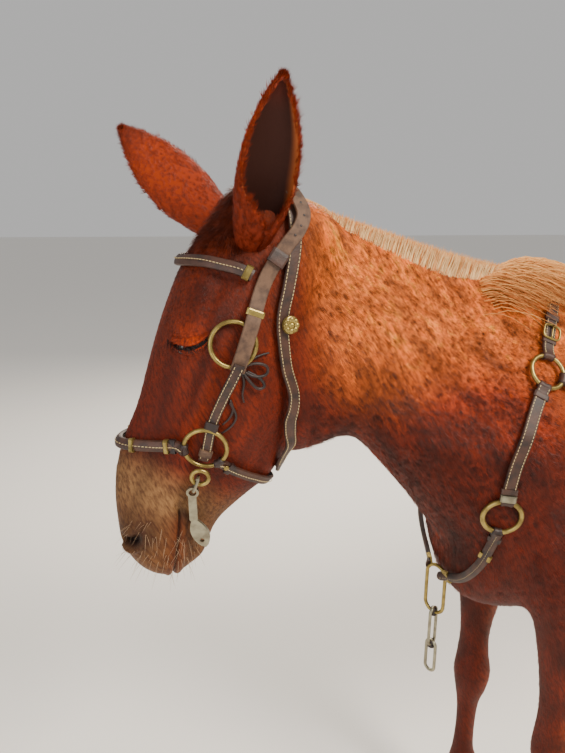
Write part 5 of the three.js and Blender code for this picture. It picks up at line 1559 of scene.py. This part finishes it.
# %% Ear hair
for name in EARS:
    mesh = bpy.data.objects[f"ear_{name}_leaf"].data
    base, up, facing, across, ear_length = ear_frames[name]
    p = coords(mesh) - SHIFT
    n = normals_of(mesh)
    n_ring = 2 * EAR_AROUND
    k = np.tile(np.arange(n_ring), len(p) // n_ring)
    back = rng.choice(np.nonzero(k < EAR_AROUND)[0], 2600)
    jitter = rng.normal(0, 0.0022, (len(back), 3))
    back_root = p[back] + jitter - n[back] * np.sum(jitter * n[back], axis=1, keepdims=True)
    way = unit(np.tile(up, (len(back), 1)) + 0.22 * rng.normal(size=(len(back), 3)))
    back_way = unit(way - n[back] * np.sum(way * n[back], axis=1, keepdims=True) + 0.16 * n[back])
    back_length = 0.0095 * rng.uniform(0.7, 1.3, len(back))
    rim = rng.choice(np.nonzero(np.isin(k, (0, EAR_AROUND - 1, EAR_AROUND, n_ring - 1)))[0],
                     900)
    rim_root = p[rim] + rng.normal(0, 0.0012, (len(rim), 3))
    rim_way = unit(up + 0.55 * facing + 0.25 * rng.normal(size=(len(rim), 3)))
    rim_length = 0.011 * rng.uniform(0.5, 1.4, len(rim))
    root, way = np.vstack([back_root, rim_root]), np.vstack([back_way, rim_way])
    normal = np.vstack([n[back], np.tile(facing, (len(rim), 1))])
    length = np.concatenate([back_length, rim_length])
    share = np.clip((root - base) @ up / ear_length, 0, 1)
    tone, tip_share = ear_colour(len(root), base[1], share)
    tone = np.clip(mix(tone, DEEP, tip_share) * rng.normal(1.05, 0.22, len(root))[:, None], 0, 1)
    cell = np.stack([(2 + np.clip(rng.random(len(root)), 0.01, 0.99)) / 3, (1 + share * 0.98) / 3,
                     np.zeros(len(root))], axis=1)
    scatter(f"coat_ear_{name}", root, turns(way, normal),
            np.stack([length, length * 0.6, length * 0.5], axis=1),
            tone, cell, clump, TUFTS[0])
bpy.data.objects.remove(clump)

# %% [markdown]
# ## Mane, tuft and tail
# The mane was clipped and grows back as a low stiff brush, flaxen in the middle, with a painted highlight on the
# outermost hairs of both sides. Before the withers the hair was left long, and falls over in a flaxen wave,
# painted paler on top and darker beneath as light and shade. The tail hangs from its bony dock to below the
# hocks.

# %% Long hair as fine tapered strands


def strands(name, roots, way, droop, length, width, tint, cell, steps=6, mat=HAIR, curl=0.0):
    """Three-sided tapering strands that leave their root along way and bend by droop."""
    n = len(roots)
    t = np.linspace(0, 1, steps + 1)
    line = roots[:, None] + (way[:, None] * t[:, None] + droop[:, None] * (t ** 2)[:, None]) * length[:,
                                                                                                      None,
                                                                                                      None]
    if curl:
        phase = rng.uniform(0, 6.28, (n, 1))
        wob = curl * np.sin(phase + t * 9) * t
        sidew = unit(np.cross(way, rng.normal(size=(n, 3))))
        line = line + sidew[:, None] * wob[..., None]
    tangent = unit(np.gradient(line, axis=1))
    ref = unit(np.cross(tangent, np.array([0.3, 1.0, 0.2])))
    other = np.cross(tangent, ref)
    taper = width[:, None] * np.clip(1 - t ** 2.2, 0.04, 1) / 2
    ring = []
    for a in (0, 2.1, 4.2):
        ring.append(line + taper[..., None] * (math.cos(a) * ref + math.sin(a) * other))
    verts = np.stack(ring, axis=2).reshape(-1, 3)
    base = (np.arange(n) * (steps + 1) * 3)[:, None, None, None]
    r = (np.arange(steps) * 3)[None, :, None, None]
    j = np.arange(3)[None, None, :, None]
    a, b = r + j, r + (j + 1) % 3
    quads = np.concatenate([base + a, base + b, base + b + 3, base + a + 3], axis=3).reshape(-1, 4)
    mesh = fast_mesh(name, verts, quads)
    store_colour(mesh, np.repeat(np.clip(tint, 0, 1), (steps + 1) * 3, axis=0))
    uv = mesh.uv_layers.new(name="OFBake")
    owner = quads.ravel() // ((steps + 1) * 3)
    step_no = (quads.ravel() % ((steps + 1) * 3)) // 3
    spot = np.stack([(cell % 3 + 0.02 + 0.95 * rng.random(n)) / 3,
                     (cell // 3 + 0.02 + 0.95 * rng.random(n)) / 3], axis=1)
    place_uv = spot[owner] + 0.003 * np.stack([step_no / steps, (quads.ravel() % 3) / 3], axis=1)
    uv.data.foreach_set("uv", place_uv.ravel())
    return add(name, mesh, mat)


CREST = np.array([(-672, 1533), (-615, 1524), (-540, 1497), (-455, 1463), (-370, 1434), (-280, 1414),
                  (-190, 1412),
                  (-100, 1422)]) / 1000
FLAXEN = linear(242, 178, 104)
GINGER = linear(206, 112, 46)


def crest_at(share):
    """x along the crest at a share of its length."""
    return CREST[0, 0] + share * (CREST[-1, 0] - CREST[0, 0])


def on_top(x, y, sink):
    """Places on the skin, straight above or below x and y, a little under its surface."""
    z = [skin_bvh.ray_cast(Vector((a, b, 1.8)), Vector((0, 0, -1)))[0].z - sink for a, b in zip(x, y)]
    return np.stack([x, y, z], axis=1)


def crest_line(x):
    return np.interp(x, CREST[:, 0], CREST[:, 1])


density_scale = 1.0
# The clipped brush: upright hairs whose tips follow the crest, pale in the middle
n = int(8000 * density_scale)
x = crest_at(rng.uniform(0.0, 0.74, n))
half = 0.010
y = rng.uniform(-half, half, n)
roots = on_top(x, y, 0.003)
tips = crest_line(x) + 0.001 + 0.017 * step(-0.64, -0.34, x) - 40 * y ** 2 + 0.003 * rng.normal(size=n)
length = np.clip(tips - roots[:, 2], 0.010, 0.08)
way = unit(np.stack([0.06 + 0.20 * rng.random(n), y * 14 + 0.06 * rng.normal(size=n), np.ones(n)], axis=1))
tint = mix(np.tile(GINGER, (n, 1)), FLAXEN, np.clip(1.25 - np.abs(y) / half + 0.25 * rng.normal(size=n), 0,
                                                    1))
# A painted highlight: the outermost hairs along both sides of the brush are made near white.
tint = mix(tint, linear(255, 216, 156), 0.85 * step(0.005, 0.009, np.abs(y)) * (rng.random(n) < 0.85))
mane_brush = strands("mane_brush", roots, way, np.tile((0.06, 0, -0.02), (n, 1)), length, np.full(n, 0.0017),
                     tint * rng.uniform(0.8, 1.15, (n, 1)), 7, steps=3)

# The roll before the withers: long hair that rises, lies back over itself and falls to both sides
n = int(6500 * density_scale)
x = rng.uniform(-0.325, -0.160, n)
y = rng.normal(0, 0.012, n)
stack = np.sin(np.clip((x + 0.34) / 0.20, 0, 1) * math.pi)
layer = rng.random(n)
roots = on_top(x, y, 0.003)
roots[:, 2] += 0.030 * stack * layer
way = unit(np.stack([1.0 + 0.1 * rng.random(n), y * 16 + 0.08 * rng.normal(size=n), 0.35 + 0.65 * stack],
                    axis=1))
droop = np.stack([0.10 + 0.08 * rng.normal(size=n), y * 18 - 0.08 + 0.10 * rng.normal(size=n),
                  -0.75 - 0.20 * rng.random(n)], axis=1)
length = rng.uniform(0.075, 0.110, n) * (0.55 + 0.45 * stack)
# Painted light and shade: hairs rooted higher in the roll are paler and the lowest darker, as if lit from above.
lit_share = np.clip(0.15 + 0.85 * layer * stack + 0.25 * rng.normal(size=n), 0, 1)
tint = mix(np.tile(GINGER * 0.8, (n, 1)), FLAXEN, lit_share)
strands("withers_tuft", roots, way, droop, length, np.full(n, 0.0019), tint * rng.uniform(0.8, 1.15, (n, 1)),
        7,
        steps=5, curl=0.003)
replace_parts(mane_brush, "mane")

# The tail: a fleshy dock with long hair rooted all round it
n = int(3600 * density_scale)
share = rng.random(n) ** 0.8
angle = rng.uniform(0, 2 * math.pi, n)
dock = np.array([(1.060, 1.300), (1.118, 1.262), (1.134, 1.160), (1.134, 1.020), (1.132, 0.94)])
walk = share * 4
dx = np.interp(walk, np.arange(5), dock[:, 0])
dz = np.interp(walk, np.arange(5), dock[:, 1])
thick = np.interp(share, [0, 1], [0.026, 0.014])
out = np.stack([np.cos(angle), np.sin(angle), 0 * angle], axis=1)
roots = np.stack([dx, 0 * dx, dz], axis=1) + out * thick[:, None]
tip = 0.600 + 0.14 * rng.random(n)
way = np.stack([0.10 * out[:, 0] + 0.05 * (share < 0.2), 0.09 * out[:, 1], -np.ones(n)], axis=1)
droop = np.stack([-0.06 * out[:, 0], -0.05 * out[:, 1] + 0.015 * rng.normal(size=n), np.zeros(n)], axis=1)
length = np.clip(dz - tip, 0.10, 0.75) * np.where(share < 0.16, 0.45, 1)
tint = mix(np.tile(linear(112, 58, 32), (n, 1)), linear(196, 130, 74), rng.random(n))
strands("tail_hair", roots, way, droop, length, np.full(n, 0.0042), tint, 8, steps=7, curl=0.006)
core_rows = [(1040, 1316, 1040, 1254, 22, 32, 22, 0), (1092, 1308, 1076, 1250, 24, 32, 24, 0),
             (1138, 1260, 1100, 1228, 25, 33, 25, 0), (1154, 1160, 1112, 1150, 24, 33, 24, 0),
             (1152, 1020, 1116, 1020, 20, 28, 20, 0), (1142, 930, 1124, 930, 8, 12, 8, 0)]
core_mesh = new_mesh("dock", *loft(core_rows, around=32, per=5, inset=0.002))
store_colour(core_mesh, np.tile(linear(104, 54, 30), (len(core_mesh.vertices), 1)))
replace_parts(add("tail_dock", core_mesh, HAIR), "tail")

# %% [markdown]
# ## Lashes and whiskers
# The dozing eye shows as a dark line with lashes, and stiff pale feelers stand round the lips and nostrils.

# %% Fine hair of the face
for name, s in (("left", -1), ("right", 1)):
    n = 90
    u = np.linspace(-0.92, 0.92, n) * SLIT["half"]
    guide = [in_head(a, f, s * 0.14) for a, f in zip(*slit_point(u, -0.0026))]
    hit = [skin_from_side(g, s, 0.12)[0] for g in guide]
    ok = [i for i, h in enumerate(hit) if h is not None]
    roots = np.array([hit[i] for i in ok])
    down = ALONG * math.cos(SLIT["tilt"]) - FRONT * math.sin(SLIT["tilt"])
    across_eye = FRONT * math.cos(SLIT["tilt"]) + ALONG * math.sin(SLIT["tilt"])
    way = unit(down * 0.9 + np.array([0, s, 0]) * 0.55 + np.outer(u[ok] / SLIT["half"], across_eye) * 0.4
               + 0.08 * rng.normal(size=(len(ok), 3)))
    strands(f"lashes_{name}", roots, way, np.tile(down * 0.25, (len(ok), 1)),
            rng.uniform(0.008, 0.014, len(ok)),
            np.full(len(ok), 0.0009), np.tile(linear(26, 14, 10), (len(ok), 1)), 0, steps=4)
    n = 90
    a = rng.uniform(0.545, 0.640, n)
    f = rng.uniform(-0.06, 0.075, n)
    hit = [skin_from_side(in_head(*pair, s * 0.12), s, 0.12) for pair in zip(a, f)]
    roots = np.array([h[0] for h in hit if h[0] is not None])
    way = unit(np.array([h[1] for h in hit if h[0] is not None]) + ALONG * 0.55
               + 0.2 * rng.normal(size=(len(roots), 3)))
    strands(f"feelers_{name}", roots, way, np.tile(ALONG * 0.2, (len(roots), 1)),
            rng.uniform(0.012, 0.034, len(roots)), np.full(len(roots), 0.0006),
            np.tile(linear(170, 140, 110), (len(roots), 1)), 0, steps=4)

# %% [markdown]
# ## Camera, light and floor
# The camera stands on the mule's left, level with its muzzle and 1.5 m up. It looks slightly down and a little
# towards the tail. A warm lamp stands high on the near side, a second one on the far side, and a weak cool
# one fills in from the front.

# %% Camera, light and floor
CAMERA = dict(at=(-0.927, -0.927, 1.50), turn=-15.0, down=14.4, lens=28.0)
camera_data = bpy.data.cameras.new("camera")
camera_data.lens = CAMERA["lens"]
camera_data.sensor_width = 36
camera = new_object("camera", camera_data)
camera.location = Vector(CAMERA["at"]) + Vector(SHIFT)
camera.rotation_euler = (math.radians(90 - CAMERA["down"]), 0, math.radians(CAMERA["turn"]))
bpy.context.scene.camera = camera

floor_bm = bmesh.new()
bmesh.ops.create_grid(floor_bm, x_segments=1, y_segments=1, size=90)
floor_mesh = bpy.data.meshes.new("floor")
floor_bm.to_mesh(floor_mesh)
floor_bm.free()
floor = new_object("floor", floor_mesh)
floor_mesh.materials.append(material("floor", linear(236, 232, 226), rough=0.9))


def area_light(name, at, target, size, power, colour):
    data = bpy.data.lights.new(name, "AREA")
    data.size = size
    data.energy = power
    data.color = colour
    obj = new_object(name, data)
    obj.location = at
    obj.rotation_euler = (Vector(target) - Vector(at)).to_track_quat("-Z", "Y").to_euler()


area_light("key", (1.2, -3.2, 4.6), (-0.5, 0, 1.2), 1.6, 330, (1.0, 0.93, 0.82))
area_light("back", (0.6, 3.4, 3.6), (-0.3, 0, 1.2), 2.2, 240, (1.0, 0.90, 0.76))
area_light("fill", (-3.6, -2.6, 1.6), (-0.4, 0, 1.1), 3.0, 60, (0.94, 0.97, 1.0))
world = bpy.data.worlds.new("room")
world.use_nodes = True
world.node_tree.nodes["Background"].inputs["Color"].default_value = (0.86, 0.85, 0.84, 1)
world.node_tree.nodes["Background"].inputs["Strength"].default_value = 0.62
bpy.context.scene.world = world
